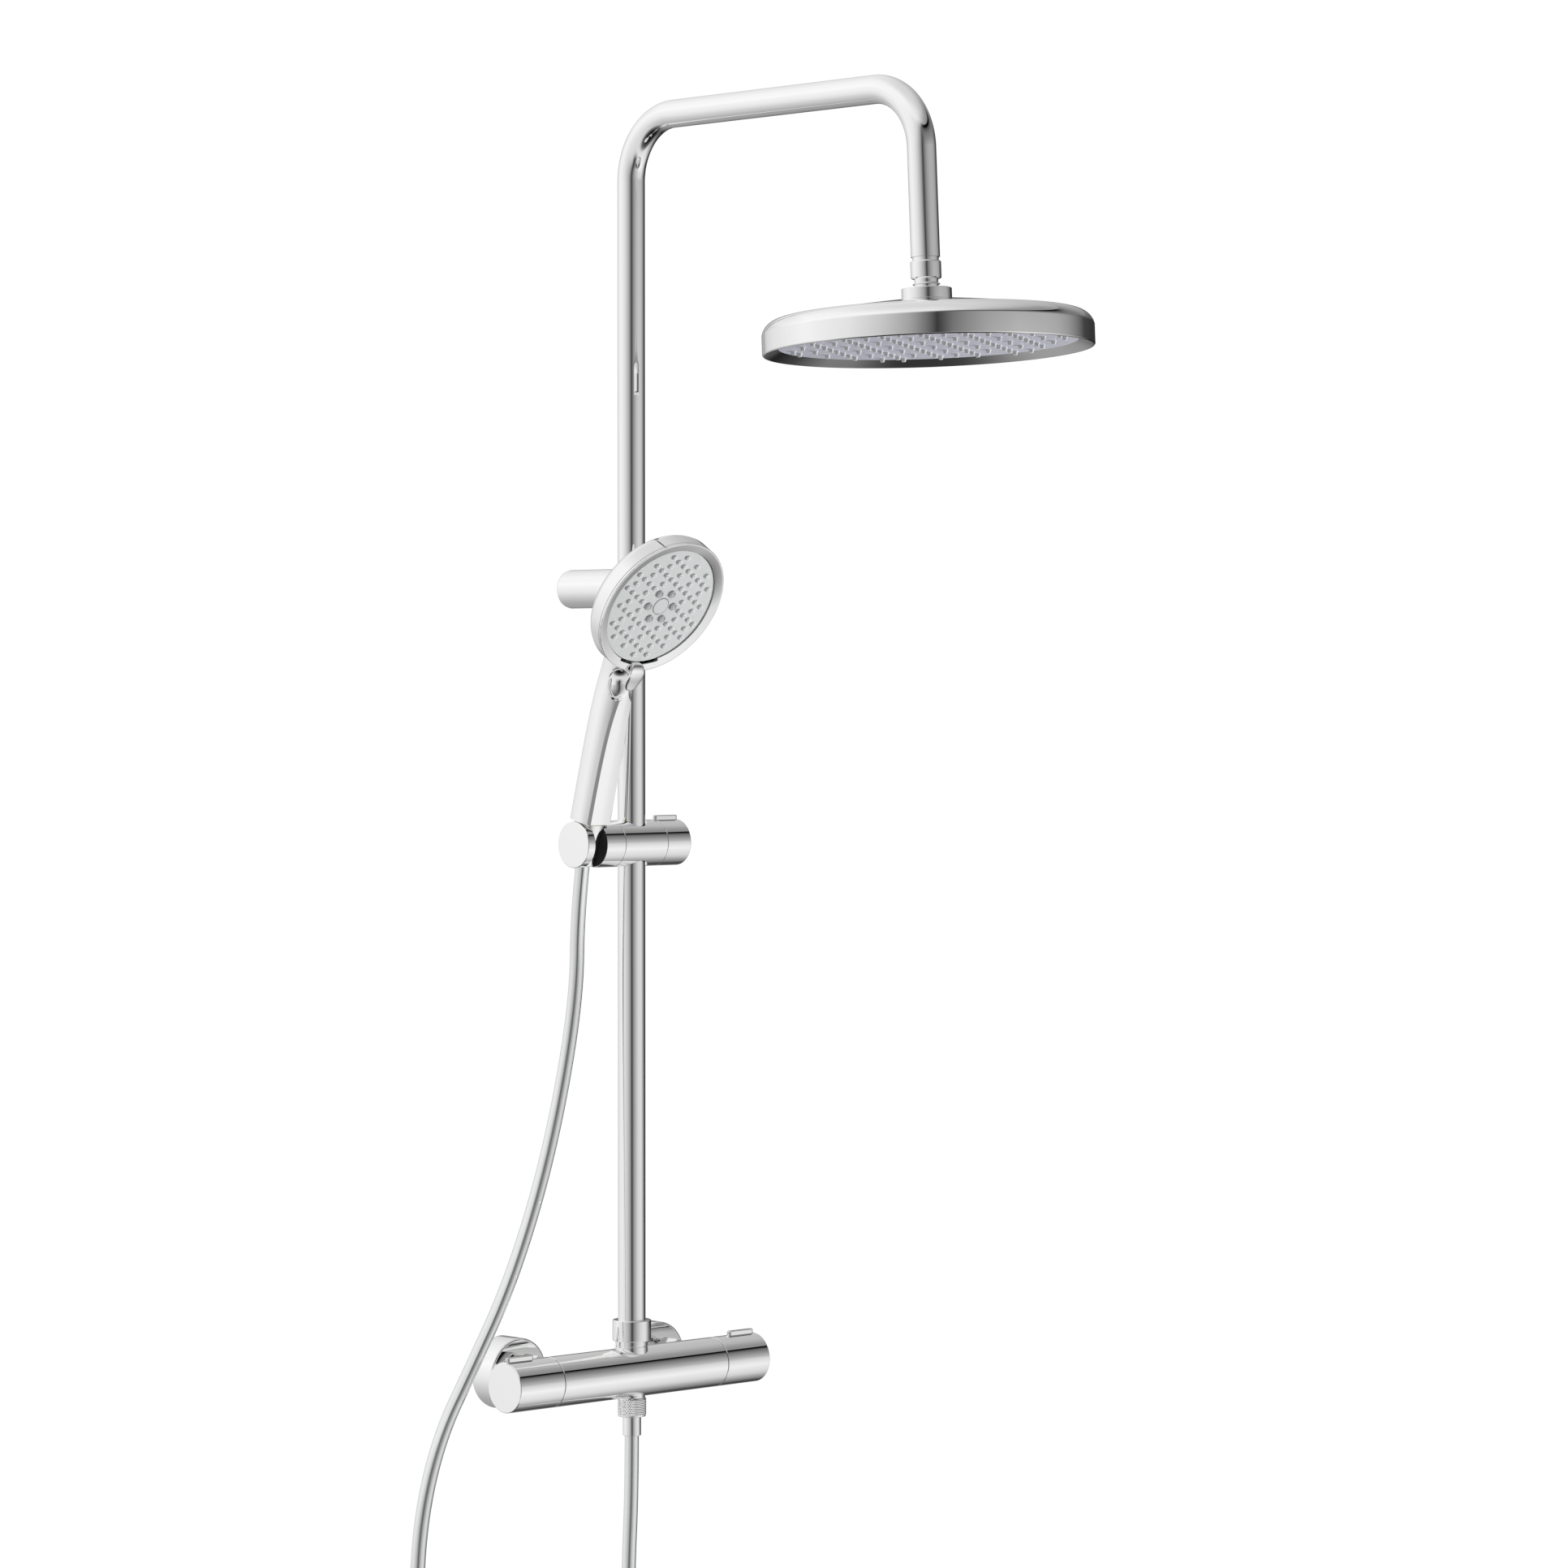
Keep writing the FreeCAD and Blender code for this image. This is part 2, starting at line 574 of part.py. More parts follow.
def slider_body():
    left, right = SLIDER_X
    body = cylinder(SLIDER_R, slider_point(left), slider_point(right))
    bore = cylinder(BUSH_R + RUN_FIT, slider_point(0) - Z_AXIS * 30, slider_point(0) + Z_AXIS * 30)
    screw_hole = cylinder(5.0 + RUN_FIT, slider_point(12), slider_point(right + 1))
    pivot_hole = cylinder(3.0 + FIT, slider_point(left - 1), slider_point(-13.5))
    return body.cut([bore, screw_hole, pivot_hole])


def clamp_knob():
    """Turning knob with a thumb bar on top."""
    start = SLIDER_X[1] + GAP / 2
    shell = spun([(0, 0), (SLIDER_R, 0), (SLIDER_R, KNOB_L - 1.0), (SLIDER_R - 1.0, KNOB_L), (0, KNOB_L)])
    cavity = tube(SLIDER_R - 3, 8.5, V(0, 0, -1), V(0, 0, KNOB_L - 3))
    knob = shell.cut([cavity, cylinder(5.0 + FIT, V(0, 0, -1), V(0, 0, KNOB_L - 6))])
    knob = along_x(knob, slider_point(start))
    bar = button_bar(KNOB_L - 0.6, BUTTON_W, SLIDER_R - 1.2, SLIDER_R + BUTTON_RISE)
    bar.translate(slider_point(start + 0.3))
    return joined([knob, bar])


def clamp_screw():
    start = SLIDER_X[1] + GAP / 2
    return cylinder(5.0, slider_point(16.2), slider_point(start + KNOB_L - 6.1))


def clamp_pad():
    """Plastic plug that the screw presses on the sleeve."""
    return cylinder(4.9, slider_point(BUSH_R + 1.0), slider_point(16.0))


def cone_holder():
    """Turning fork with a conical seat and a front slot for the hose."""
    start, end = SLIDER_X[0] - GAP / 2, HOLDER_END_X
    body = spun([(0, 0), (SLIDER_R, 0), (SLIDER_R, start - end - 0.6), (SLIDER_R - 0.6, start - end),
                 (0, start - end)])
    body = along_x(body, slider_point(start), True)
    slope = (CONE_TOP_R - CONE_FOOT_R) / (CONE_TOP_U - CONE_FOOT_U)
    top_u, foot_u = 24.0, -24.0
    top_r = CONE_TOP_R + RUN_FIT + slope * (top_u - CONE_TOP_U)
    foot_r = CONE_FOOT_R + RUN_FIT - slope * (CONE_FOOT_U - foot_u)
    seat = in_handset(cone(foot_r, top_r, V(0, 0, foot_u), V(0, 0, top_u)))
    slot = in_handset(box((-SLOT_W / 2, SLOT_W / 2), (-40, 0), (-24, 24)))
    pivot = cylinder(3.0 + RUN_FIT, slider_point(start + 1), slider_point(-40))
    well = cylinder(6.2, slider_point(-27.5), slider_point(-40))
    recess = tube(12.1, 1.0, slider_point(start + 1), slider_point(start - 0.9))
    return body.cut([seat, slot, pivot, well, recess])


def holder_pivot_screw():
    shank = cylinder(3.0, slider_point(-13.6), slider_point(-27.8))
    head = cylinder(6.0, slider_point(-27.8), slider_point(-31.5))
    socket = cylinder(2.2, slider_point(-29.3), slider_point(-32))
    return joined([shank, head]).cut(socket)


def holder_friction_washer():
    return tube(12.0, 3.0 + 0.1, slider_point(SLIDER_X[0]), slider_point(SLIDER_X[0] - 0.9))


# ---------------------------------------------------------------- handset
def grip_outline(u, half_front, front, half_side, shoulder, rear):
    """Ten-sided section of the grip: flat front, side flats and a rounded back."""
    back = rear * 0.55
    points = [(-half_front, front), (half_front, front), (half_side, shoulder), (half_side - 0.6, back),
              (half_side * 0.74, rear * 0.88), (half_side * 0.32, rear), (-half_side * 0.32, rear),
              (-half_side * 0.74, rear * 0.88), (-half_side + 0.6, back), (-half_side, shoulder)]
    corners = [V(x, -w, u) for x, w in points]
    return Part.makePolygon(corners + corners[:1])


def grip_sections():
    return [grip_outline(GRIP_FOOT_U, 10.9, 12.4, 15.2, 4.0, -13.2),
            grip_outline(60, 10.2, 13.0, 15.0, 4.2, -12.6),
            grip_outline(108, 8.8, 13.6, 14.4, 4.6, -11.8),
            grip_outline(134, 6.6, 13.8, 13.2, 6.0, -9.4),
            grip_outline(150, 9.0, 15.0, 14.5, 9.0, -3.4),
            grip_outline(166, 11.0, 20.0, 17.0, 15.0, 5.2)]


def spray_body():
    """Outside of the housing behind the rim."""
    return in_spray(spun([(0, -27), (22, -26.2), (SPRAY_R - 12.5, -22.4), (SPRAY_R, -12), (SPRAY_R, -2.3),
                          (0, -2.3)],
                         {0: (11, -26.8), 1: (SPRAY_R - 24, -24.8), 2: (SPRAY_R - 3.9, -18.6)}))


def handset_shell():
    """Grip and housing in one hollow piece."""
    grip = in_handset(Part.makeLoft([w for w in grip_sections()], True, True))
    shell = joined([spray_body(), grip])
    inner = SPRAY_R - 2.7
    cavity = in_spray(spun([(0, -20.5), (SPRAY_R - 14.5, -18), (inner, -13), (inner, 1), (0, 1)]))
    bore = in_handset(cylinder(GRIP_BORE_R, V(0, 0, 27), V(0, 0, 160)))
    socket = in_handset(cylinder(HALF_INCH_R + FIT, V(0, 0, 0), V(0, 0, 27)))
    return shell.cut([cavity, bore, socket])


def lever_notch():
    """Curved slot at the bottom of the rim that the lever moves in."""
    ring = tube(SPRAY_R - 2.9, SPRAY_FACE_R + 0.2, V(0, 0, -14), V(0, 0, 1))
    half = math.radians(27)
    reach = 90.0
    wedge = Part.Face(Part.makePolygon([V(0, 0, -14), V(-reach * math.sin(half), -reach * math.cos(half), -14),
                                        V(0, -reach * 1.4, -14),
                                        V(reach * math.sin(half), -reach * math.cos(half), -14),
                                        V(0, 0, -14)])).extrude(V(0, 0, 16))
    return ring.common(wedge)


def handset_rim():
    """Chrome front ring with a sloping inside."""
    r = SPRAY_R
    bore = SPRAY_FACE_R + 0.2
    ring = spun([(bore, -11.5), (r - 2.7 - FIT, -11.5), (r - 2.7 - FIT, -2.0), (r, -2.0), (r, -0.6),
                 (r - 0.6, 0), (r - 1.4, 0), (bore, -SPRAY_RECESS - 1.2)])
    return in_spray(ring.cut(lever_notch()))


def spray_sites():
    return [s for s in lattice(SPRAY_PITCH, SPRAY_FACE_R - 1.6, 15.0)]


def handset_face():
    high = -SPRAY_RECESS
    plate = cylinder(SPRAY_FACE_R, V(0, 0, high - 2.5), V(0, 0, high))
    holes = [cylinder(SPRAY_NOZZLE_R + FIT, V(x, y, high - 3), V(x, y, high + 1)) for x, y in spray_sites()
             if math.hypot(x, y) < SPRAY_FACE_R - 3.2]
    jets = [cylinder(3.6 + FIT, V(x, y, high - 3), V(x, y, high + 1)) for x, y in jet_sites()]
    return in_spray(plate.cut(Part.makeCompound(holes + jets + [cap_hole()])))


def cap_hole():
    return cylinder(7.0 + FIT, V(0, 0, -SPRAY_RECESS - 1.2), V(0, 0, 1))


def jet_sites():
    reach = SPRAY_PITCH * 1.6
    return [(reach * math.cos(k * math.pi / 3), reach * math.sin(k * math.pi / 3)) for k in range(6)]


def handset_nozzles():
    """Silicone mat behind the face with its round nozzles."""
    back = -SPRAY_RECESS - 2.5 - FIT
    mat = cylinder(SPRAY_FACE_R - 2, V(0, 0, back - 1.0), V(0, 0, back))
    nubs = []
    for x, y in spray_sites():
        if math.hypot(x, y) < SPRAY_FACE_R - 3.2:
            nubs.append(cylinder(SPRAY_NOZZLE_R, V(x, y, back - 0.5), V(x, y, -SPRAY_RECESS)))
            nubs.append(cone(SPRAY_NOZZLE_R, SPRAY_NOZZLE_R - 0.6, V(x, y, -SPRAY_RECESS),
                             V(x, y, -SPRAY_RECESS + 1.3)))
    holes = [cylinder(3.6 + FIT, V(x, y, back - 2), V(x, y, back + 1)) for x, y in jet_sites()]
    return in_spray(mat.fuse(nubs).cut(Part.makeCompound(holes)))


def handset_jets():
    """Six hexagonal jets round the centre."""
    back = -SPRAY_RECESS - 4.5
    jets = []
    for x, y in jet_sites():
        body = cylinder(3.6, V(x, y, back), V(x, y, -SPRAY_RECESS))
        corners = [V(x + 3.4 * math.cos(k * math.pi / 3), y + 3.4 * math.sin(k * math.pi / 3), -SPRAY_RECESS)
                   for k in range(7)]
        head = Part.Face(Part.makePolygon(corners)).extrude(V(0, 0, 1.2))
        jets.append(in_spray(joined([body, head]).cut(cylinder(1.1, V(x, y, back - 1), V(x, y, 1)))))
    return Part.makeCompound(jets)


def handset_cap():
    return in_spray(cylinder(7.0, V(0, 0, -SPRAY_RECESS - 1.1), V(0, 0, -SPRAY_RECESS + 0.2)))


def spray_lever():
    """Lever from the selector, through the rim's notch and down over its edge."""
    inner = SPRAY_FACE_R + 0.8
    outer = SPRAY_R - 3.6
    stalk = box((-4.5, 4.5), (-outer, -inner), (-9.5, 1.2))
    bridge = box((-5.5, 5.5), (-SPRAY_R - 3.2, -inner), (0.5, 2.8))
    tip = box((-5.5, 5.5), (-SPRAY_R - 3.2, -SPRAY_R - 0.6), (-7.5, 2.8))
    return in_spray(joined([stalk, bridge, tip]))


def spray_selector_disc():
    """Plate behind the mat that opens one ring of nozzles after another."""
    disc = tube(SPRAY_FACE_R - 3, 4.0, V(0, 0, -9.2), V(0, 0, -7.6))
    arm = box((-4.4, 4.4), (-SPRAY_R + 3.6, -SPRAY_FACE_R + 5), (-11.0, -9.6))
    link = box((-4.4, 4.4), (-SPRAY_FACE_R + 3.2, -SPRAY_FACE_R + 5), (-9.7, -8.0))
    return in_spray(joined([disc, arm, link]))


def handset_waterway():
    """Inner pipe from the thread to the spray chamber."""
    return in_handset(tube(GRIP_BORE_R - 0.4, 6.2, V(0, 0, 27.3), V(0, 0, 150)))


def handset_nipple():
    """Threaded end that the hose nut screws on."""
    return in_handset(tube(HALF_INCH_R, 6.2, V(0, 0, 6.0), V(0, 0, 27.0)))


# ---------------------------------------------------------------- hose
def hose_cone_nut():
    """Conical swivel nut that sits in the holder."""
    nut = spun([(HOSE_R + 0.9, CONE_FOOT_U), (CONE_FOOT_R, CONE_FOOT_U), (CONE_TOP_R, CONE_TOP_U),
                (HALF_INCH_R + RUN_FIT, CONE_TOP_U), (HALF_INCH_R + RUN_FIT, 3.0), (HOSE_R + 0.9, 3.0)])
    return in_handset(nut)


def hose_ferrule_upper():
    """Crimped sleeve in the conical nut, with the seal for the thread on top."""
    return in_handset(tube(HOSE_R + 0.8, 3.4, V(0, 0, CONE_FOOT_U + 0.6), V(0, 0, 2.6)))


def hose_washer_upper():
    return in_handset(tube(HALF_INCH_R - 0.2, 5.5, V(0, 0, 3.1), V(0, 0, 5.8)))


def hose_nut_lower():
    """Knurled nut under the mixer."""
    top, foot = -MIXER_R - 0.2, -35.3
    ring = spun([(HALF_INCH_R + FIT, top), (HOSE_NUT_R + 0.5 - 0.6, top), (HOSE_NUT_R + 0.5, top - 0.6),
                 (HOSE_NUT_R + 0.5, foot + 0.6), (HOSE_NUT_R - 0.1, foot), (7.6, foot), (7.6, foot + 2),
                 (HALF_INCH_R + FIT, foot + 2)])
    ring.translate(V(0, COLUMN_Y, 0))
    return ring


def hose_ferrule_lower():
    sleeve = spun([(HOSE_R + FIT, -50.7), (7.4, -50.7), (7.4, -33.2), (9.6, -33.2), (9.6, -32.6),
                   (HOSE_R + FIT, -32.6)])
    sleeve.translate(V(0, COLUMN_Y, 0))
    return sleeve


def hose_washer_lower():
    return tube(9.8, 5.5, V(0, COLUMN_Y, -32.5), V(0, COLUMN_Y, -31.1))


def hose_points():
    """The hose's route, chosen by hand, from the conical nut to the mixer's outlet."""
    y = COLUMN_Y
    start = grip_point(CONE_FOOT_U - 0.3, 0)
    return [start, V(-47.0, y + 12.0, 366), V(-43.5, y + 17.0, 306), V(-58.0, y + 18.0, 229),
            V(-83.5, y + 16.0, 151), V(-119.0, y + 13.0, 76), V(-159.0, y + 10.0, 17),
            V(-193.0, y + 8.0, -32), V(-214.0, y + 6.0, -92), V(-221.0, y + 4.0, -160),
            V(-220.0, y + 3.0, -234), V(-215.0, y + 2.0, -304), V(-198.0, y + 1.5, -370),
            V(-160.0, y + 1.0, -423), V(-104.0, y + 0.5, -448), V(-50.0, y + 0.5, -427),
            V(-20.0, y, -377), V(-9.0, y, -310), V(-5.0, y, -238), V(-4.0, y, -160),
            V(0.0, y, -92), V(0.0, y, -33.4)]


def rounded_path(points):
    """Straight runs joined by tangent arcs, each as large as its two runs allow."""
    edges = []
    radii = []
    here = points[0]
    for before, corner, after in zip(points, points[1:], points[2:]):
        incoming = (corner - before).normalize()
        outgoing = (after - corner).normalize()
        half = incoming.getAngle(outgoing) / 2
        reach = 0.45 * min((corner - before).Length, (after - corner).Length)
        radius = reach / math.tan(half)
        radii.append(round(radius))
        start, middle, end = bend(corner, incoming, outgoing, radius)
        edges.append(Part.LineSegment(here, start).toShape())
        edges.append(Part.Arc(start, middle, end).toShape())
        here = end
    edges.append(Part.LineSegment(here, points[-1]).toShape())
    return Part.Wire(edges), radii


def hose():
    points = hose_points()
    path, radii = rounded_path(points)
    ring = Part.Wire(Part.makeCircle(HOSE_R, points[0], points[1] - points[0]))
    body = path.makePipeShell([ring], True, False)
    expected = math.pi * HOSE_R ** 2 * path.Length
    print("hose length", round(path.Length), "radii", radii, "volume ratio", round(body.Volume / expected, 5))
    return body


PARTS = {
    "mixer_body": mixer_body,
    "thermostat_cartridge": lambda: cartridge(False),
    "diverter_cartridge": lambda: cartridge(True),
    "temperature_handle": lambda: mixer_handle(False),
    "temperature_button": lambda: handle_button(False),
    "flow_handle": lambda: mixer_handle(True),
    "flow_button": lambda: handle_button(True),
    "wall_union_left": lambda: wall_union(-1),
    "wall_union_right": lambda: wall_union(1),
    "union_nuts": union_nuts,
    "union_gaskets": union_gaskets,
    "rosette_left": lambda: rosette(-1),
    "rosette_right": lambda: rosette(1),
    "outlet_adapter": outlet_adapter,
    "riser_union_nut": riser_union_nut,
    "riser_tube": riser_tube,
    "riser_spigot": riser_spigot,
    "riser_o_rings": riser_o_rings,
    "wall_bracket": wall_bracket,
    "bracket_bush": bracket_bush,
    "bracket_base": bracket_base,
    "bracket_base_screw": bracket_base_screw,
    "bracket_wall_anchor": bracket_wall_anchor,
    "bracket_grub_screw": bracket_grub_screw,
    "arm_tube": arm_tube,
    "arm_end_nipple": arm_end_nipple,
    "ball_stem": ball_stem,
    "ball_seat": ball_seat,
    "head_collar": head_collar,
    "head_socket": head_socket,
    "head_shell": head_shell,
    "head_face": head_face,
    "head_nozzles": head_nozzles,
    "head_water_plate": head_water_plate,
    "head_plate_screws": head_plate_screws,
    "slide_bush": slide_bush,
    "slider_body": slider_body,
    "clamp_knob": clamp_knob,
    "clamp_screw": clamp_screw,
    "clamp_pad": clamp_pad,
    "cone_holder": cone_holder,
    "holder_pivot_screw": holder_pivot_screw,
    "holder_friction_washer": holder_friction_washer,
    "handset_shell": handset_shell,
    "handset_rim": handset_rim,
    "handset_face": handset_face,
    "handset_nozzles": handset_nozzles,
    "handset_jets": handset_jets,
    "handset_cap": handset_cap,
    "spray_lever": spray_lever,
    "spray_selector_disc": spray_selector_disc,
    "handset_waterway": handset_waterway,
    "handset_nipple": handset_nipple,
    "hose_cone_nut": hose_cone_nut,
    "hose_ferrule_upper": hose_ferrule_upper,
    "hose_washer_upper": hose_washer_upper,
    "hose": hose,
    "hose_nut_lower": hose_nut_lower,
    "hose_ferrule_lower": hose_ferrule_lower,
    "hose_washer_lower": hose_washer_lower,
}


def main():
    os.makedirs("parts", exist_ok=True)
    for name, make in PARTS.items():
        shape = make()
        state = "" if shape.isValid() and shape.Volume > 0 else "  NOT VALID"
        print(name, len(shape.Solids), round(shape.Volume), state)
        shape.exportStep("parts/" + name + ".step")


main()
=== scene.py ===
import json
import math

import bmesh
import bpy
from mathutils import Matrix, Vector


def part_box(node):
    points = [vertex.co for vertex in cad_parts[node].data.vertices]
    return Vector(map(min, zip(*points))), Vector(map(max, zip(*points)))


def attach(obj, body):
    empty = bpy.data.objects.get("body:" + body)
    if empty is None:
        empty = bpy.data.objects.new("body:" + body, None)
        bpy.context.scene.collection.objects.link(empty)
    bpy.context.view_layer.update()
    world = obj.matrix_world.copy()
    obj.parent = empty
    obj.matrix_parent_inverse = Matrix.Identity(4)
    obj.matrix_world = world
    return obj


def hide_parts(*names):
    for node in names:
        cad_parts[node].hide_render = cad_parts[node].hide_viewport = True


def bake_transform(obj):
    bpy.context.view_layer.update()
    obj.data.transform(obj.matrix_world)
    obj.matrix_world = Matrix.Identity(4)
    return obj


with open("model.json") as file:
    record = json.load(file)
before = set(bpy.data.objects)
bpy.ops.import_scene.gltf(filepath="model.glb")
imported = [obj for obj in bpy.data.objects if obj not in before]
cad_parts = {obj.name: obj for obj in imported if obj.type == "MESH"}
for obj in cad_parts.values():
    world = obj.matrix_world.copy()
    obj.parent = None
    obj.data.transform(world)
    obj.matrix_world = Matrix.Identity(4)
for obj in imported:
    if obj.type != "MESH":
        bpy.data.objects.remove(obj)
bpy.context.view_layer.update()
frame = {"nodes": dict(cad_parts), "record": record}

# Rainfall shower column. Pieces are shaped in millimetres in their own working frame, then set in
# place and scaled to metres. +Z is up, +X right along the wall, -Y out of the wall.

TO_METRES = 0.001


def middle(node):
    """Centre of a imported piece, in millimetres."""
    low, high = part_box(node)
    return (Vector(low) + Vector(high)) * 0.5 / TO_METRES


RISER_Y = middle("riser_tube").y
BRACKET_Z = middle("bracket_bush").z
SLIDER_Z = middle("slide_bush").z
INLET_X = middle("rosette_right").x
CONE_X = -48.5
CONE_TILT = 14.3
FACE_TILT = 32.5
FACE_PLACE = (202.6, 41.2)      # along the grip's axis and ahead of it
ARM_Z = 1000.6
ARM_CORNER_Y = -398.0
DROP_TILT = 2.84
DROP_LENGTH = 130.3
HEAD_DROP = 200.9
BEND_R = 50.0
TUBE_R = 11.0
TUBE_WALL = 1.2
MIXER_R = 20.0
MIXER_BORE_R = 15.55
MIXER_CORE = 34.5               # half the length left solid in the middle
BODY_END = 87.5
SEAM = 0.5
HANDLE_L = 46.0
BUTTON_X = 105.2
BUTTON_L = 27.0
BUTTON_W = 5.0
SLIDER_R = 18.5
KNOB_X = 23.25
KNOB_L = 25.0
HOLDER_X = -22.25
HOLDER_L = 39.75
HOSE_R = 5.7
SPRAY_R = 58.5
SPRAY_FACE_R = 50.8
SPRAY_FACE_H = -2.5
SPRAY_PITCH = 8.05
NOTCH_HALF = 22                 # degrees to each side
HEAD_R = 125.0
HEAD_PITCH = 17.0
HEAD_FACE_R = 113.0
HEAD_FACE_H = 5.4


# ---------------------------------------------------------------- working frames
def lean(origin, degrees):
    """A frame leaned about X at origin."""
    return Matrix.Translation(origin) @ Matrix.Rotation(math.radians(degrees), 4, "X")


def sideways(x, z, left=False):
    """Heights run along +X, or along -X for a left-hand piece."""
    turn = Matrix.Rotation(math.radians(-90 if left else 90), 4, "Y")
    return Matrix.Translation((x, RISER_Y, z)) @ turn


COLUMN = Matrix.Translation((0, RISER_Y, 0))
HANDSET = lean((CONE_X, RISER_Y, SLIDER_Z), CONE_TILT)
SPRAY = lean(HANDSET @ Vector((0, -FACE_PLACE[1], FACE_PLACE[0])), 90 + FACE_TILT)
DROP = lean((0, ARM_CORNER_Y, ARM_Z), -DROP_TILT)
HEAD = DROP @ Matrix.Translation((0, 0, -HEAD_DROP))


def out_of_wall(x, z):
    return lean((x, 0, z), 90)


# ---------------------------------------------------------------- finishes
def finish(name, colour, metal, rough, spread, grain, relief, tint=0.03, **sockets):
    """A procedural finish: colour and roughness vary with a soft noise, and a fine grain lifts it.

    grain is the size of the fine pattern in metres and relief its height."""
    material = bpy.data.materials.new(name)
    material.use_nodes = True
    tree = material.node_tree
    shader = tree.nodes["Principled BSDF"]
    place = tree.nodes.new("ShaderNodeTexCoord")
    cloud = tree.nodes.new("ShaderNodeTexNoise")
    cloud.inputs["Scale"].default_value = 0.2 / max(grain, 1e-5)
    cloud.inputs["Detail"].default_value = 3.0
    fine = tree.nodes.new("ShaderNodeTexNoise")
    fine.inputs["Scale"].default_value = 1.0 / grain
    fine.inputs["Detail"].default_value = 2.0
    tree.links.new(place.outputs["Object"], cloud.inputs["Vector"])
    tree.links.new(place.outputs["Object"], fine.inputs["Vector"])
    shade = tree.nodes.new("ShaderNodeMix")
    shade.data_type = "RGBA"
    shade.inputs["A"].default_value = (*[c * (1 - tint) for c in colour], 1)
    shade.inputs["B"].default_value = (*colour, 1)
    tree.links.new(cloud.outputs["Fac"], shade.inputs["Factor"])
    tree.links.new(shade.outputs["Result"], shader.inputs["Base Color"])
    gloss = tree.nodes.new("ShaderNodeMapRange")
    gloss.inputs["From Min"].default_value = 0.3
    gloss.inputs["From Max"].default_value = 0.7
    gloss.inputs["To Min"].default_value = rough
    gloss.inputs["To Max"].default_value = rough + spread
    tree.links.new(cloud.outputs["Fac"], gloss.inputs["Value"])
    tree.links.new(gloss.outputs["Result"], shader.inputs["Roughness"])
    bump = tree.nodes.new("ShaderNodeBump")
    bump.inputs["Strength"].default_value = 1.0
    bump.inputs["Distance"].default_value = relief
    tree.links.new(fine.outputs["Fac"], bump.inputs["Height"])
    tree.links.new(bump.outputs["Normal"], shader.inputs["Normal"])
    shader.inputs["Metallic"].default_value = metal
    for socket, value in sockets.items():
        shader.inputs[socket.replace("_", " ")].default_value = value
    return material


FINISHES = {
    "chrome": finish("polished_chrome", (0.93, 0.935, 0.93), 1.0, 0.01, 0.012, 0.004, 5e-8, 0.01),
    "hose_silver": finish("silver_hose", (0.86, 0.865, 0.87), 0.9, 0.13, 0.02, 0.02, 1e-8, 0.01,
                          Coat_Weight=0.3, Coat_Roughness=0.08),
    "brass": finish("turned_brass", (0.78, 0.6, 0.33), 1.0, 0.22, 0.12, 0.0015, 4e-6, 0.12),
    "steel": finish("stainless_steel", (0.62, 0.62, 0.63), 1.0, 0.25, 0.12, 0.001, 4e-6, 0.08),
    "black_rubber": finish("black_rubber", (0.018, 0.018, 0.019), 0.0, 0.55, 0.15, 0.0008, 1e-5, 0.3),
    "white_plastic": finish("white_plastic", (0.82, 0.82, 0.8), 0.0, 0.3, 0.1, 0.0012, 5e-6, 0.03),
    "lilac_plastic": finish("lilac_grey_plastic", (0.47, 0.47, 0.545), 0.0, 0.3, 0.08, 0.0012, 4e-6, 0.03),
    "grey_plastic": finish("pale_grey_plastic", (0.56, 0.57, 0.572), 0.0, 0.28, 0.08, 0.0012, 4e-6, 0.03),
    "silicone": finish("pale_silicone", (0.68, 0.685, 0.69), 0.0, 0.38, 0.1, 0.002, 1e-6, 0.03),
    "jet_plastic": finish("satin_grey_jets", (0.5, 0.51, 0.52), 0.35, 0.28, 0.08, 0.001, 4e-6, 0.05),
}


# ---------------------------------------------------------------- shaping helpers
def arc(start, bulge, end, steps):
    """Points of the circular arc from start through bulge to end, both ends included."""
    ax, ay = start
    bx, by = bulge
    cx, cy = end
    d = 2 * (ax * (by - cy) + bx * (cy - ay) + cx * (ay - by))
    a2, b2, c2 = ax * ax + ay * ay, bx * bx + by * by, cx * cx + cy * cy
    ox = (a2 * (by - cy) + b2 * (cy - ay) + c2 * (ay - by)) / d
    oy = (a2 * (cx - bx) + b2 * (ax - cx) + c2 * (bx - ax)) / d
    radius = math.hypot(ax - ox, ay - oy)
    first = math.atan2(ay - oy, ax - ox)
    last = math.atan2(cy - oy, cx - ox)
    sweep = (last - first + math.pi) % (2 * math.pi) - math.pi
    angles = [first + sweep * k / steps for k in range(steps + 1)]
    return [(ox + radius * math.cos(t), oy + radius * math.sin(t)) for t in angles]


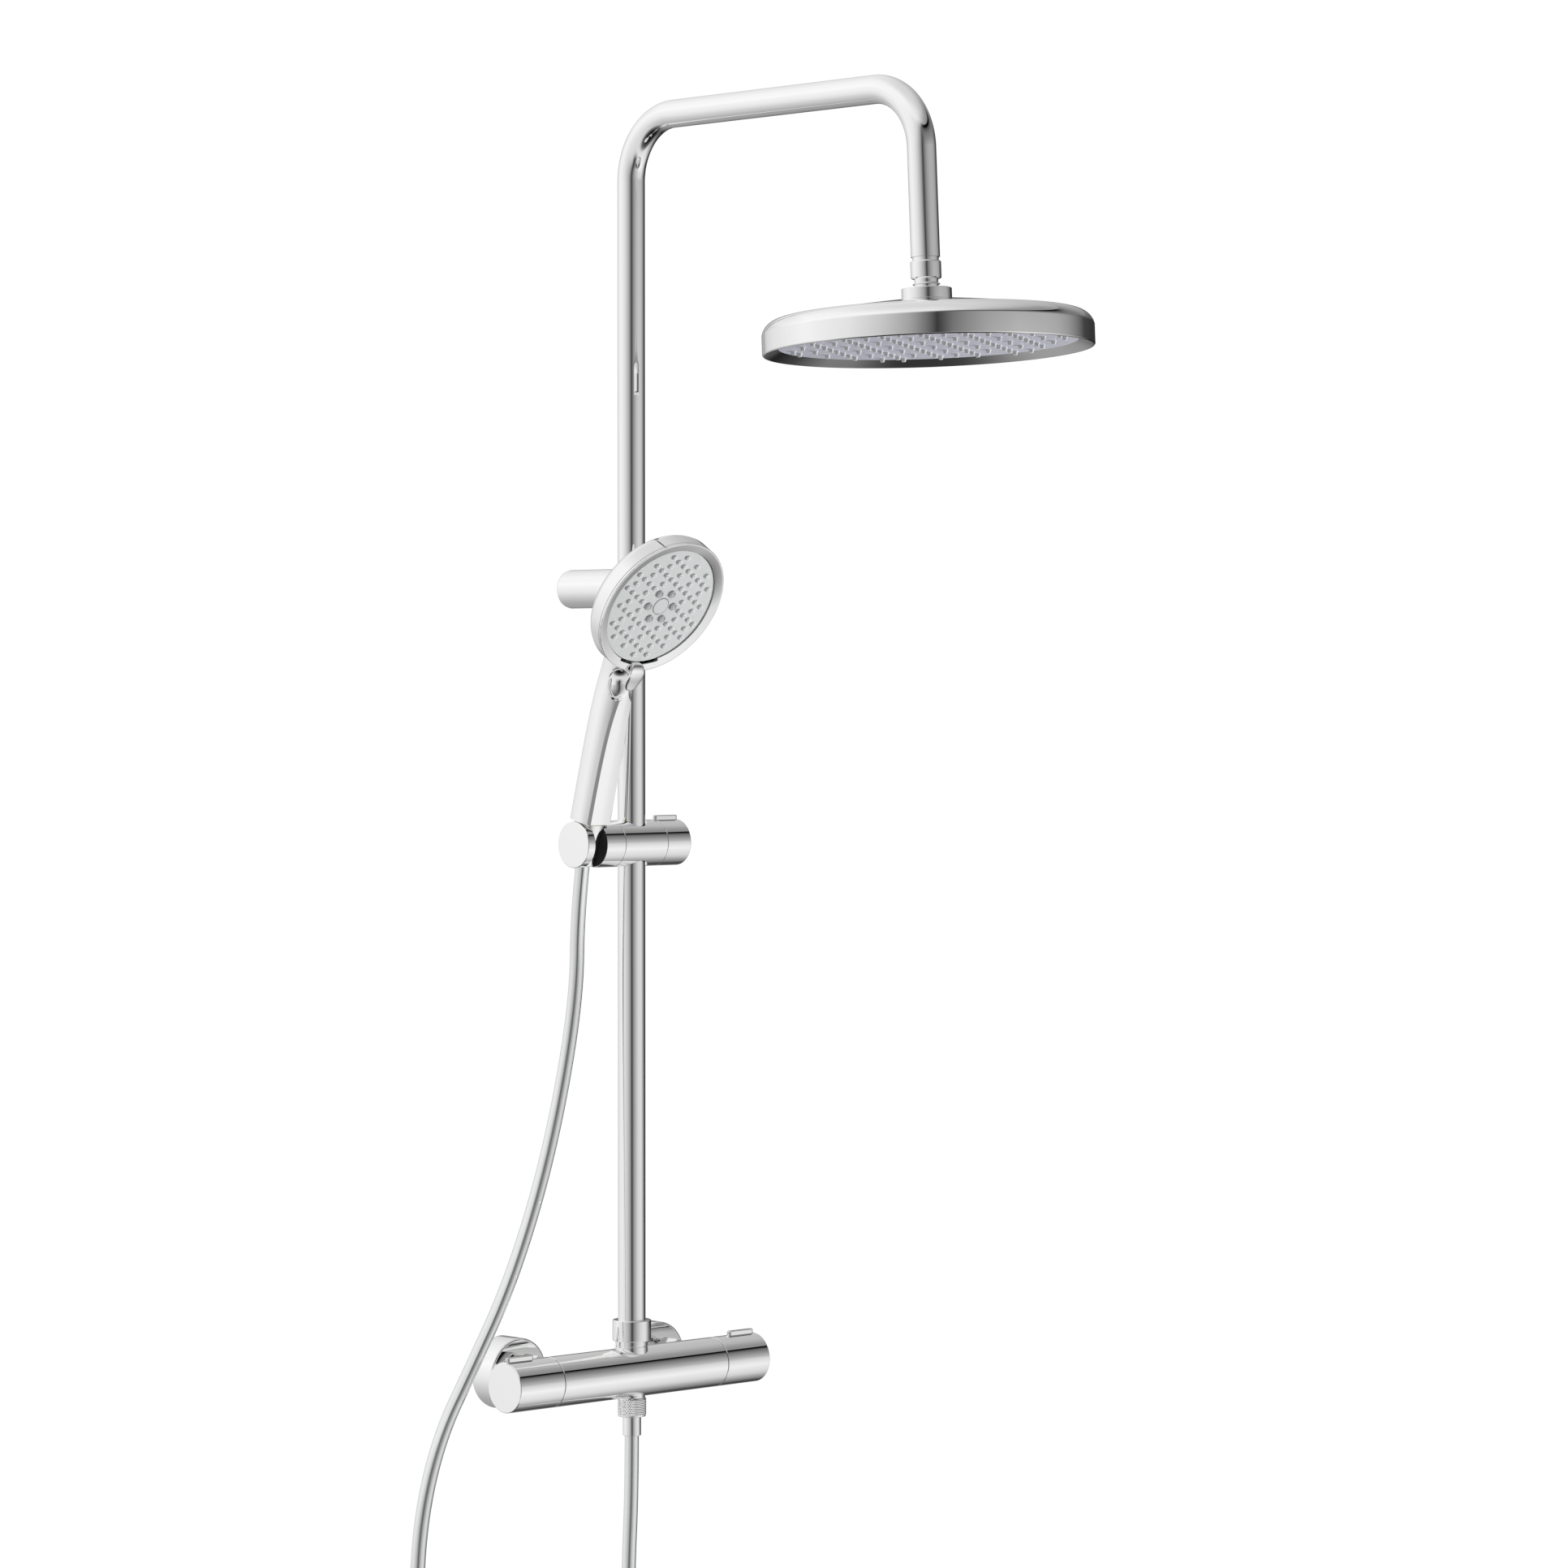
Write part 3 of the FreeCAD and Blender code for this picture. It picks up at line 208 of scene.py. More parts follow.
def turned(profile, closed=False, steps=96, edge=0.25):
    """Spin an outline of (radius, height) about Z. A third number rounds that corner by as much."""
    bm = bmesh.new()
    corners = [bm.verts.new((p[0], 0, p[1])) for p in profile]
    for a, b in zip(corners, corners[1:]):
        bm.edges.new((a, b))
    if closed:
        bm.edges.new((corners[-1], corners[0]))
    sharp = []
    for i, vert in enumerate(corners):
        if len(vert.link_edges) < 2:
            continue
        before = (vert.co - corners[i - 1].co).normalized()
        after = (corners[(i + 1) % len(corners)].co - vert.co).normalized()
        if before.angle(after) > math.radians(24):
            sharp.append((vert, profile[i][2] if len(profile[i]) > 2 else edge))
    for vert, radius in sharp:
        if radius:
            bmesh.ops.bevel(bm, geom=[vert], offset=radius, offset_type="OFFSET", segments=3,
                            profile=0.5, affect="VERTICES", clamp_overlap=True, material=-1)
    bmesh.ops.spin(bm, geom=bm.verts[:] + bm.edges[:], cent=(0, 0, 0), axis=(0, 0, 1),
                   angle=2 * math.pi, steps=steps, use_merge=True)
    bmesh.ops.remove_doubles(bm, verts=bm.verts, dist=1e-4)
    bmesh.ops.recalc_face_normals(bm, faces=bm.faces)
    return bm


def rod(radius, low, high, steps=64):
    """A plain cylinder from one height to another, used to bore and to build up."""
    return turned([(0, low), (radius, low), (radius, high), (0, high)], steps=steps, edge=0)


def bar(length, width, low, high, edge):
    """A bar with round ends, from 0 to length along X, its top edge softened."""
    bm = bmesh.new()
    bmesh.ops.create_cube(bm, size=1)
    bmesh.ops.scale(bm, vec=(length, width, high - low), verts=bm.verts)
    bmesh.ops.translate(bm, vec=(length / 2, 0, (low + high) / 2), verts=bm.verts)
    upright = [e for e in bm.edges if abs(e.verts[0].co.z - e.verts[1].co.z) > 0.1]
    bmesh.ops.bevel(bm, geom=upright, offset=width / 2 - 0.01, segments=8, profile=0.5,
                    affect="EDGES", material=-1)
    if edge:
        top = [e for e in bm.edges if min(v.co.z for v in e.verts) > high - 1e-4]
        bmesh.ops.bevel(bm, geom=top, offset=edge, segments=3, profile=0.5, affect="EDGES",
                        material=-1)
    return bm


def joined(parts):
    """Several meshes in one."""
    whole = bmesh.new()
    for part in parts:
        mesh = bpy.data.meshes.new("part")
        part.to_mesh(mesh)
        whole.from_mesh(mesh)
        part.free()
        bpy.data.meshes.remove(mesh)
    return whole


def settled(obj):
    """The object's mesh with its modifiers carried out, as a bmesh."""
    bpy.context.view_layer.update()
    graph = bpy.context.evaluated_depsgraph_get()
    bm = bmesh.new()
    bm.from_object(obj, graph)
    return bm


def spare(bm, name="blank"):
    """A throw-away object that holds the bmesh."""
    mesh = bpy.data.meshes.new(name)
    bm.to_mesh(mesh)
    bm.free()
    obj = bpy.data.objects.new(name, mesh)
    bpy.context.scene.collection.objects.link(obj)
    return obj


def worked(blank, tools, operation="DIFFERENCE"):
    """Cut the tools out of the blank, or build them on to it."""
    base = spare(blank)
    cutters = [spare(t, "tool") for t in tools]
    for cutter in cutters:
        step = base.modifiers.new("work", "BOOLEAN")
        step.operation = operation
        step.solver = "EXACT"
        step.object = cutter
    result = settled(base)
    for obj in [base] + cutters:
        mesh = obj.data
        bpy.data.objects.remove(obj)
        bpy.data.meshes.remove(mesh)
    bmesh.ops.remove_doubles(result, verts=result.verts, dist=1e-4)
    return result


def moved(bm, matrix):
    bmesh.ops.transform(bm, matrix=matrix, verts=bm.verts)
    return bm


def piece(name, bm, place, slot, body, nodes, crease=32):
    """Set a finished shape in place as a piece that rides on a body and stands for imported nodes."""
    bmesh.ops.transform(bm, matrix=Matrix.Scale(TO_METRES, 4) @ place, verts=bm.verts)
    mesh = bpy.data.meshes.new(name)
    bm.to_mesh(mesh)
    bm.free()
    mesh.shade_smooth()
    mesh.set_sharp_from_angle(angle=math.radians(crease))
    mesh.materials.append(FINISHES[slot])
    obj = bpy.data.objects.new(name, mesh)
    bpy.context.scene.collection.objects.link(obj)
    shading = obj.modifiers.new("shading", "WEIGHTED_NORMAL")
    shading.keep_sharp = True
    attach(obj, body)
    if nodes:
        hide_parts(*nodes)
    return obj


def lattice(pitch, reach, inner):
    """Sites of a triangular grid with every second site of every second row left out."""
    count = int(reach / pitch) + 2
    sites = []
    for i in range(-2 * count, 2 * count + 1):
        for j in range(-2 * count, 2 * count + 1):
            if i % 2 == 0 and j % 2 == 0:
                continue
            x = i * math.sqrt(3) / 2 * pitch
            y = (j + i / 2) * pitch
            if inner < math.hypot(x, y) < reach:
                sites.append((x, y))
    return sites


def repeated(maker, sites):
    """One small shape set at every site."""
    pattern = bpy.data.meshes.new("pattern")
    one = maker()
    one.to_mesh(pattern)
    one.free()
    whole = bmesh.new()
    for x, y in sites:
        start = len(whole.verts)
        whole.from_mesh(pattern)
        whole.verts.ensure_lookup_table()
        bmesh.ops.translate(whole, vec=(x, y, 0), verts=whole.verts[start:])
    bpy.data.meshes.remove(pattern)
    return whole


# ---------------------------------------------------------------- mixer
def mixer_barrel():
    barrel = moved(turned([(0, -MIXER_CORE), (MIXER_BORE_R, -MIXER_CORE), (MIXER_BORE_R, -BODY_END),
                           (MIXER_R, -BODY_END, 0.4), (MIXER_R, BODY_END, 0.4),
                           (MIXER_BORE_R, BODY_END), (MIXER_BORE_R, MIXER_CORE), (0, MIXER_CORE)],
                          steps=144),
                   Matrix.Rotation(math.radians(90), 4, "Y"))
    extra = []
    for side in (-1, 1):
        tail = turned([(0, 0), (12, 0), (12, 29), (12.9, 29), (12.9, 31), (0, 31)], steps=64, edge=0.2)
        extra.append(moved(tail, Matrix.Translation((side * INLET_X, 0, 0))
                           @ Matrix.Rotation(math.radians(-90), 4, "X")))
    extra.append(turned([(0, -31), (10.4, -31), (10.4, -14), (0, -14)], steps=64))
    whole = worked(barrel, extra, "UNION")
    whole = worked(whole, [rod(12.95, 14, 30)])
    piece("mixer_barrel", whole, COLUMN, "chrome", "column", ["mixer_body"])


def mixer_handle(name, left, body, node):
    shell = turned([(0, 26.5), (8.06, 26.5), (8.06, 3), (11, 3), (11, 42.8), (16.8, 42.8), (16.8, 0),
                    (MIXER_R, 0, 0.4), (MIXER_R, HANDLE_L, 0.9), (0, HANDLE_L)], steps=144)
    side = -1 if left else 1
    place = sideways(side * (BODY_END + SEAM), 0, left)
    slot = bar(BUTTON_L + 0.5, BUTTON_W + 0.5, 12, 26, 0)
    slot.transform(Matrix.Translation((BUTTON_X - 0.25, RISER_Y, 0)))
    if left:
        slot.transform(Matrix.Scale(-1, 4, (1, 0, 0)))
        bmesh.ops.recalc_face_normals(slot, faces=slot.faces)
    whole = worked(moved(shell, place), [slot])
    piece(name, whole, Matrix.Identity(4), "chrome", body, [node])


def handle_button(name, left, body, node):
    top = bar(BUTTON_L, BUTTON_W, 14.2, MIXER_R + 3.4, 0.7)
    flange = bar(BUTTON_L - 3.2, 8.0, 13.6, 15.2, 0.2)
    flange.transform(Matrix.Translation((1.0, 0, 0)))
    whole = joined([top, flange])
    whole.transform(Matrix.Translation((BUTTON_X, RISER_Y, 0)))
    if left:
        whole.transform(Matrix.Scale(-1, 4, (1, 0, 0)))
        bmesh.ops.recalc_face_normals(whole, faces=whole.faces)
    piece(name, whole, Matrix.Identity(4), "chrome", body, [node])


def rosette(name, side, node):
    cup = turned([(15.05, 23.1), (26.6, 23.1), (27.6, 22.1), (27.6, 0.2), (29, 0.2), (29, 24.5, 2.0),
                  (15.05, 24.5)], closed=True, steps=128)
    piece(name, cup, out_of_wall(side * INLET_X, 0), "chrome", "column", [node])


def union_nut_pair():
    nuts = []
    for side in (-1, 1):
        bm = bmesh.new()
        bmesh.ops.create_cone(bm, cap_ends=True, segments=6, radius1=15 / math.cos(math.pi / 6),
                              radius2=15 / math.cos(math.pi / 6), depth=17)
        bmesh.ops.translate(bm, vec=(0, 0, 39.5), verts=bm.verts)
        bmesh.ops.bevel(bm, geom=bm.edges[:], offset=0.7, segments=3, profile=0.5, affect="EDGES",
                        material=-1)
        nuts.append(moved(worked(bm, [rod(13.25, 20, 46.05), rod(12.05, 40, 60)]),
                          out_of_wall(side * INLET_X, 0)))
    piece("union_nut_pair", joined(nuts), Matrix.Identity(4), "chrome", "column", ["union_nuts"])


# ---------------------------------------------------------------- riser, bracket and arm
def riser_fittings():
    adapter = turned([(7.5, 6.2), (10.4, 6.2), (10.4, 14), (12.9, 14), (12.9, 20.9), (12.2, 20.9),
                      (12.2, 21.7), (12.9, 21.7), (12.9, 25.2), (13.2, 25.2, 0.1), (13.2, 36.8),
                      (11.05, 36.8), (11.05, 27.4), (7.5, 27.4)], closed=True, steps=96, edge=0.15)
    piece("riser_adapter", adapter, COLUMN, "chrome", "column", ["outlet_adapter"])
    nut = turned([(13.25, 25.4), (15.5, 25.4, 0.8), (15.5, 42.2, 0.8), (11.05, 42.2), (11.05, 39.4),
                  (13.25, 39.4)], closed=True, steps=96)
    piece("riser_nut", nut, COLUMN, "chrome", "column", ["riser_union_nut"])
    inner = TUBE_R - TUBE_WALL
    tube = turned([(inner, 27.6), (TUBE_R, 27.6), (TUBE_R, 37.2, 0), (12.7, 37.2), (12.7, 39.2),
                   (TUBE_R, 39.2, 0), (TUBE_R, BRACKET_Z), (inner, BRACKET_Z)], closed=True, steps=96)
    piece("riser_pipe", tube, COLUMN, "chrome", "column", ["riser_tube"])


def wall_arm_bracket():
    post = turned([(0, 31), (12.05, 31), (12.05, 0.4), (15.5, 0.4, 3.2), (15.5, 90.5, 1.6), (0, 90.5)],
                  steps=128)
    post = moved(post, out_of_wall(0, BRACKET_Z))
    bore = moved(rod(12.3, BRACKET_Z - 20, BRACKET_Z + 20), COLUMN)
    piece("bracket_post", worked(post, [bore]), Matrix.Identity(4), "chrome", "column", ["wall_bracket"])


def swept_arm():
    """A ring run up, round both bends and down the drop, then given its wall."""
    bm = bmesh.new()
    bmesh.ops.create_circle(bm, cap_ends=False, segments=64, radius=TUBE_R)
    bmesh.ops.translate(bm, vec=(0, RISER_Y, BRACKET_Z + 0.1), verts=bm.verts)
    ring = bm.edges[:]

    def run(edges, along):
        grown = bmesh.ops.extrude_edge_only(bm, edges=edges)["geom"]
        bmesh.ops.translate(bm, vec=along, verts=[g for g in grown if isinstance(g, bmesh.types.BMVert)])
        return [g for g in grown if isinstance(g, bmesh.types.BMEdge)
                and all(v in grown for v in g.verts)]

    def round_bend(edges, centre, degrees):
        verts = list({v for e in edges for v in e.verts})
        turned_ring = bmesh.ops.spin(bm, geom=verts + edges, cent=centre, axis=(1, 0, 0),
                                     angle=math.radians(degrees), steps=28)["geom_last"]
        return [g for g in turned_ring if isinstance(g, bmesh.types.BMEdge)]

    ring = run(ring, (0, 0, ARM_Z - BEND_R - BRACKET_Z - 0.1))
    ring = round_bend(ring, (0, RISER_Y - BEND_R, ARM_Z - BEND_R), 90)
    reach = BEND_R * math.tan(math.radians(90 - DROP_TILT) / 2)
    ring = run(ring, (0, ARM_CORNER_Y + reach - (RISER_Y - BEND_R), 0))
    ring = round_bend(ring, (0, ARM_CORNER_Y + reach, ARM_Z - BEND_R), 90 - DROP_TILT)
    down = DROP.to_3x3() @ Vector((0, 0, -(DROP_LENGTH - reach)))
    run(ring, down)
    bmesh.ops.recalc_face_normals(bm, faces=bm.faces)
    outward = sum((f.normal.x * (f.calc_center_median().x) for f in bm.faces))
    if outward < 0:
        bmesh.ops.reverse_faces(bm, faces=bm.faces)
    bmesh.ops.solidify(bm, geom=bm.faces[:], thickness=TUBE_WALL)
    piece("arm_pipe", bm, Matrix.Identity(4), "chrome", "arm", ["arm_tube"], crease=50)


def ball_joint():
    ring = turned([(5, 58.6), (8, 58.6), (8, 67.8), (10, 67.8), (10, 70.55), (9.75, 70.55), (9.75, 92.6),
                   (5, 92.6)], closed=True, steps=64, edge=0.15)
    piece("drop_ring", ring, HEAD, "chrome", "arm", ["arm_end_nipple"])
    ball = arc((0, 23.9), (11, 34.9), (7, 43.385), 16)
    stem = turned(ball + [(7, 43.9), (9, 47.3), (9, 49.9), (10.4, 49.9, 0.2), (10.4, 50.5, 0.2), (9, 51.1),
                          (9, 54.2), (10.4, 54.2), (11.6, 55.0), (11.6, 67.1, 0.5), (11.0, 67.7),
                          (0, 67.7)], steps=96, edge=0.15)
    piece("ball_and_nut", stem, HEAD, "chrome", "arm", ["ball_stem"])


# ---------------------------------------------------------------- rain head
def rain_head():
    collar = turned([(13, 38.6), (19, 38.6), (19, 47.1, 0.6), (12.3, 47.1), (9.9, 43.4), (13, 42.0)],
                    closed=True, steps=96)
    piece("crown_collar", collar, HEAD, "chrome", "rain_head", ["head_collar"])
    outer = arc((21, 38.3), (65, 32.6), (110, 26.2), 14)
    shoulder = arc((110, 26.2), (121.2, 22.4), (HEAD_R, 15.5), 14)
    hollow = arc((123.4, 15.3), (119.9, 21.2), (109.6, 24.6), 8)
    under = arc((109.6, 24.6), (65, 31.0), (21, 36.7), 8)
    lip = [(HEAD_R, 0.9), (124.2, 0, 0.3), (123.2, 0, 0.3), (113.05, HEAD_FACE_H, 0.1),
           (113.05, 10.4, 0.1), (123.4, 12.4, 0.2)]
    shell = turned([(17.05, 38.5)] + outer + shoulder[1:] + lip + hollow + under[1:] + [(17.05, 36.9)],
                   closed=True, steps=256, edge=0.2)
    piece("head_dome", shell, HEAD, "chrome", "rain_head", ["head_shell"], crease=28)
    plate = turned([(0, HEAD_FACE_H), (112.95, HEAD_FACE_H), (112.95, 10), (0, 10)], steps=192, edge=0.3)
    piece("head_plate", plate, HEAD, "lilac_plastic", "rain_head", ["head_face"])

    def nozzle():
        base = HEAD_FACE_H
        return turned([(0, base - 2.8), (1.3, base - 2.8), (1.7, base - 2.3), (1.9, base - 0.8),
                       (2.3, base - 0.4), (2.4, base + 0.2), (0, base + 0.2)], steps=12, edge=0)

    whole = repeated(nozzle, lattice(HEAD_PITCH, HEAD_FACE_R - 7, 1.0))
    piece("head_nozzle_tips", whole, HEAD, "silicone", "rain_head", ["head_nozzles"], crease=40)


# ---------------------------------------------------------------- slider
def slider():
    body = moved(turned([(0, -22), (SLIDER_R, -22, 0.35), (SLIDER_R, 23, 0.35), (0, 23)], steps=128),
                 sideways(0, SLIDER_Z))
    bore = moved(rod(12.46, SLIDER_Z - 30, SLIDER_Z + 30, 96), COLUMN)
    screw_hole = moved(rod(5.06, 12, 24), sideways(0, SLIDER_Z))
    pivot_hole = moved(rod(3.05, 13.5, 23), sideways(0, SLIDER_Z, True))
    piece("slider_barrel", worked(body, [bore, screw_hole, pivot_hole]), Matrix.Identity(4), "chrome",
          "slider", ["slider_body"])


def clamping_knob():
    knob = turned([(0, 19), (5.05, 19), (5.05, 0.3), (8.5, 0.3), (8.5, 22), (15.5, 22), (15.5, 0),
                   (SLIDER_R, 0, 0.35), (SLIDER_R, KNOB_L, 0.9), (0, KNOB_L)], steps=128)
    knob = moved(knob, sideways(KNOB_X, SLIDER_Z))
    thumb = bar(KNOB_L - 0.6, BUTTON_W, SLIDER_R - 1.2, SLIDER_R + 3.4, 0.7)
    thumb.transform(Matrix.Translation((KNOB_X + 0.3, RISER_Y, SLIDER_Z)))
    piece("knob_with_thumb_bar", worked(knob, [thumb], "UNION"), Matrix.Identity(4), "chrome", "clamp",
          ["clamp_knob"])


LINING = 0.5


def fork_opening(grown):
    """The conical seat and the slot in front of it, as cutters, larger all round by grown."""
    seat = turned([(0, -24), (7.9 + grown, -24), (12.49 + grown, 24), (0, 24)], steps=96, edge=0)
    slot = bmesh.new()
    bmesh.ops.create_cube(slot, size=1)
    bmesh.ops.scale(slot, vec=(12 + 2 * grown, 40, 48), verts=slot.verts)
    bmesh.ops.translate(slot, vec=(0, -20, 0), verts=slot.verts)
    return [moved(seat, HANDSET), moved(slot, HANDSET)]


def fork():
    def blank(end_edge):
        return moved(turned([(0, 0), (SLIDER_R, 0, 0.35), (SLIDER_R, HOLDER_L, end_edge), (0, HOLDER_L)],
                            steps=128), sideways(HOLDER_X, SLIDER_Z, True))

    pivot = moved(rod(3.06, -1, 17.75), sideways(HOLDER_X, SLIDER_Z, True))
    well = moved(rod(6.2, 5.25, 17.75), sideways(HOLDER_X, SLIDER_Z, True))
    whole = worked(blank(0.9), fork_opening(LINING) + [pivot, well])
    piece("handset_fork", whole, Matrix.Identity(4), "chrome", "holder", ["cone_holder"])
    seat, slot = fork_opening(LINING)
    block = worked(seat, [slot], "UNION")
    core = moved(rod(SLIDER_R - 0.4, 0.4, HOLDER_L - 1.2, 128), sideways(HOLDER_X, SLIDER_Z, True))
    lining = worked(worked(block, [core], "INTERSECT"), fork_opening(0) + [
        moved(rod(6.2, 5.25, 17.75), sideways(HOLDER_X, SLIDER_Z, True))])
    piece("fork_lining", lining, Matrix.Identity(4), "black_rubber", "holder", [])


# ---------------------------------------------------------------- handset
GRIP = (  # height, half width and depth of the front flat, half width, shoulder, back
    (19.3, 9.9, 12.4, 15.2, 4.0, -13.2),
    (21.5, 9.9, 12.4, 15.2, 4.0, -13.2),
    (60.0, 9.9, 13.2, 15.2, 4.2, -12.6),
    (96.0, 8.9, 14.6, 14.8, 4.8, -12.0),
    (118.0, 6.6, 16.6, 14.0, 6.0, -10.8),
    (132.0, 4.6, 18.6, 13.6, 7.6, -9.2),
    (143.0, 4.8, 19.8, 14.2, 9.6, -6.0),
    (156.0, 9.0, 19.4, 16.4, 12.6, -0.6),
    (172.0, 12.0, 22.0, 20.0, 18.0, 6.0),
)
CHAMFER = (2.2, 2.1)           # the narrow flat between the front and each side
FRONT_CROWN = 0.9              # rise of the front between its ridges
CHEEK = (0.58, 0.37)           # share of the way out and back from the ridge to the shoulder
SCOOP = ((12.5, 20.0, 134.5), (13.0, 12.0, 16.0))     # centre beside the neck, half sizes


def grip_ring(bm, section):
    """The corners of one section of the grip, joined in a ring."""
    u, half_front, front, half_side, shoulder, rear = section
    edge = (half_front + CHAMFER[0], front - CHAMFER[1])
    cheek = (edge[0] + CHEEK[0] * (half_side - edge[0]), edge[1] - CHEEK[1] * (edge[1] - shoulder))
    half = [(half_front, front), edge, cheek, (half_side, shoulder), (half_side - 0.6, rear * 0.55),
            (half_side * 0.74, rear * 0.88), (half_side * 0.32, rear)]
    outline = [(-x, w) for x, w in half] + [(x, w) for x, w in reversed(half)] + [(0, front + FRONT_CROWN)]
    verts = [bm.verts.new((x, -w, u)) for x, w in outline]
    return verts, [bm.edges.new((verts[i - 1], verts[i])) for i in range(len(verts))]


def grip():
    bm = bmesh.new()
    crease = bm.edges.layers.float.new("crease_edge")
    rings = [grip_ring(bm, s) for s in GRIP]
    for (_, low), (_, high) in zip(rings, rings[1:]):
        bmesh.ops.bridge_loops(bm, edges=low + high)
    for verts, edges in (rings[0], rings[-1]):
        bmesh.ops.contextual_create(bm, geom=edges)
    for (low, _), (high, _) in zip(rings, rings[1:]):
        for i in (0, 1, -3, -2):
            edge = bm.edges.get((low[i], high[i]))
            if edge:
                edge[crease] = 1.0
    for edge in rings[0][1] + rings[-1][1]:
        edge[crease] = 1.0
    bmesh.ops.recalc_face_normals(bm, faces=bm.faces)
    obj = spare(bm, "grip")
    rounding = obj.modifiers.new("rounding", "SUBSURF")
    rounding.levels = rounding.render_levels = 3
    return moved(settled_and_gone(obj), HANDSET)


def settled_and_gone(obj):
    bm = settled(obj)
    mesh = obj.data
    bpy.data.objects.remove(obj)
    bpy.data.meshes.remove(mesh)
    return bm


def scoop(side):
    """The hollow beside the neck, as a cutter."""
    bm = bmesh.new()
    bmesh.ops.create_uvsphere(bm, u_segments=64, v_segments=48, radius=1)
    (x, w, u), (half_x, half_w, half_u) = SCOOP
    place = HANDSET @ Matrix.Translation((side * x, -w, u)) @ Matrix.Diagonal((half_x, half_w, half_u, 1))
    return moved(bm, place)


def notch():
    """The curved slot at the foot of the rim that the lever moves in, as a cutter."""
    bm = bmesh.new()
    corners = [bm.verts.new((r, 0, h)) for r, h in ((50.4, -14), (52.9, -14), (52.9, 1), (50.4, 1))]
    face = bm.faces.new(corners)
    half = math.radians(NOTCH_HALF)
    first_side = Matrix.Rotation(-math.pi / 2 - half, 3, "Z")
    bmesh.ops.rotate(bm, cent=(0, 0, 0), matrix=first_side, verts=bm.verts)
    bmesh.ops.spin(bm, geom=[face] + list(face.edges) + corners, cent=(0, 0, 0), axis=(0, 0, 1),
                   angle=2 * half, steps=24)
    bmesh.ops.remove_doubles(bm, verts=bm.verts, dist=1e-5)
    bmesh.ops.recalc_face_normals(bm, faces=bm.faces)
    return bm


def handset_housing():
    dome = arc((0, -27), (11, -26.8), (22, -26.2), 4) + arc((22, -26.2), (34.5, -24.8), (46, -22.4), 6)[1:]
    band = arc((46, -22.4), (54.6, -18.6), (SPRAY_R, -12), 12)[1:]
    lip = [(SPRAY_R, -2.3, 0.2), (55.8, -2.3), (55.8, -13), (44, -18), (0, -20.5)]
    housing = turned(dome + band + lip, steps=160)
    whole = worked(moved(housing, SPRAY), [grip()], "UNION")
    whole = worked(whole, [scoop(-1), scoop(1), moved(notch(), SPRAY)])
    piece("handset_body", whole, Matrix.Identity(4), "chrome", "handset", ["handset_shell"], crease=34)


def spray_rim():
    ring = turned([(51, -11.5), (55.75, -11.5), (55.75, -2.05), (SPRAY_R, -2.05, 0.2), (SPRAY_R, 0, 0.6),
                   (57.0, 0, 0.25), (51, -1.5, 0.15)], closed=True, steps=192, edge=0.2)
    piece("spray_ring", worked(ring, [notch()]), SPRAY, "chrome", "handset", ["handset_rim"], crease=30)


def spray_face():
    plate = turned([(0, -5), (SPRAY_FACE_R, -5), (SPRAY_FACE_R, SPRAY_FACE_H, 0.4),
                    (7.6, SPRAY_FACE_H, 0.1), (7.6, -3.7), (0, -3.7)], steps=160)
    piece("spray_plate", plate, SPRAY, "grey_plastic", "handset", ["handset_face"])

    def nub():
        return turned([(0, -5.2), (2.35, -5.2), (2.35, -2.9), (2.35, -2.35), (2.05, -1.9), (1.75, -1.2),
                       (1.2, -1.05), (0.55, -1.05), (0.4, -1.6), (0, -1.6)], steps=14, edge=0)

    sites = lattice(SPRAY_PITCH, SPRAY_FACE_R - 1.6, 15.0)
    sites = [s for s in sites if math.hypot(*s) < SPRAY_FACE_R - 3.2]
    piece("spray_nubs", repeated(nub, sites), SPRAY, "silicone", "handset", ["handset_nozzles"], crease=40)

    def jet():
        bm = bmesh.new()
        bmesh.ops.create_cone(bm, cap_ends=True, segments=6, radius1=3.5, radius2=3.3, depth=3.6)
        bmesh.ops.translate(bm, vec=(0, 0, -3.0), verts=bm.verts)
        rim = [e for e in bm.edges if min(v.co.z for v in e.verts) > -2]
        bmesh.ops.bevel(bm, geom=rim, offset=0.35, segments=2, profile=0.5, affect="EDGES", material=-1)
        top = [max(bm.faces, key=lambda f: f.calc_center_median().z)]
        bmesh.ops.inset_individual(bm, faces=top, thickness=1.1)
        bmesh.ops.translate(bm, vec=(0, 0, -0.5), verts=top[0].verts)
        bmesh.ops.inset_individual(bm, faces=top, thickness=0.4)
        bmesh.ops.translate(bm, vec=(0, 0, 0.4), verts=top[0].verts)
        return bm

    reach = SPRAY_PITCH * 1.6
    sites = [(reach * math.cos(k * math.pi / 3), reach * math.sin(k * math.pi / 3)) for k in range(6)]
    piece("spray_hex_jets", repeated(jet, sites), SPRAY, "jet_plastic", "handset", ["handset_jets"])
    cap = turned([(0, -3.6), (7, -3.6), (7, -2.2, 0.3), (0, -2.2)], steps=64)
    piece("spray_cap", cap, SPRAY, "grey_plastic", "handset", ["handset_cap"])


LEVER = (  # out from the centre, height, half width, half thickness, lean of the section
    (51.9, -8.5, 4.2, 0.7, 90),
    (51.9, -3.2, 4.8, 0.7, 90),
    (52.5, 0.6, 6.0, 1.1, 65),
    (55.6, 3.0, 7.4, 1.5, 25),
    (60.6, 3.6, 8.0, 1.6, -8),
    (66.0, 2.8, 7.8, 1.5, -8),
    (71.2, 2.6, 6.4, 1.2, 0),
    (74.8, 2.9, 3.4, 0.8, 5),
)
LEVER_TURN = -1                # degrees round from the middle of the notch


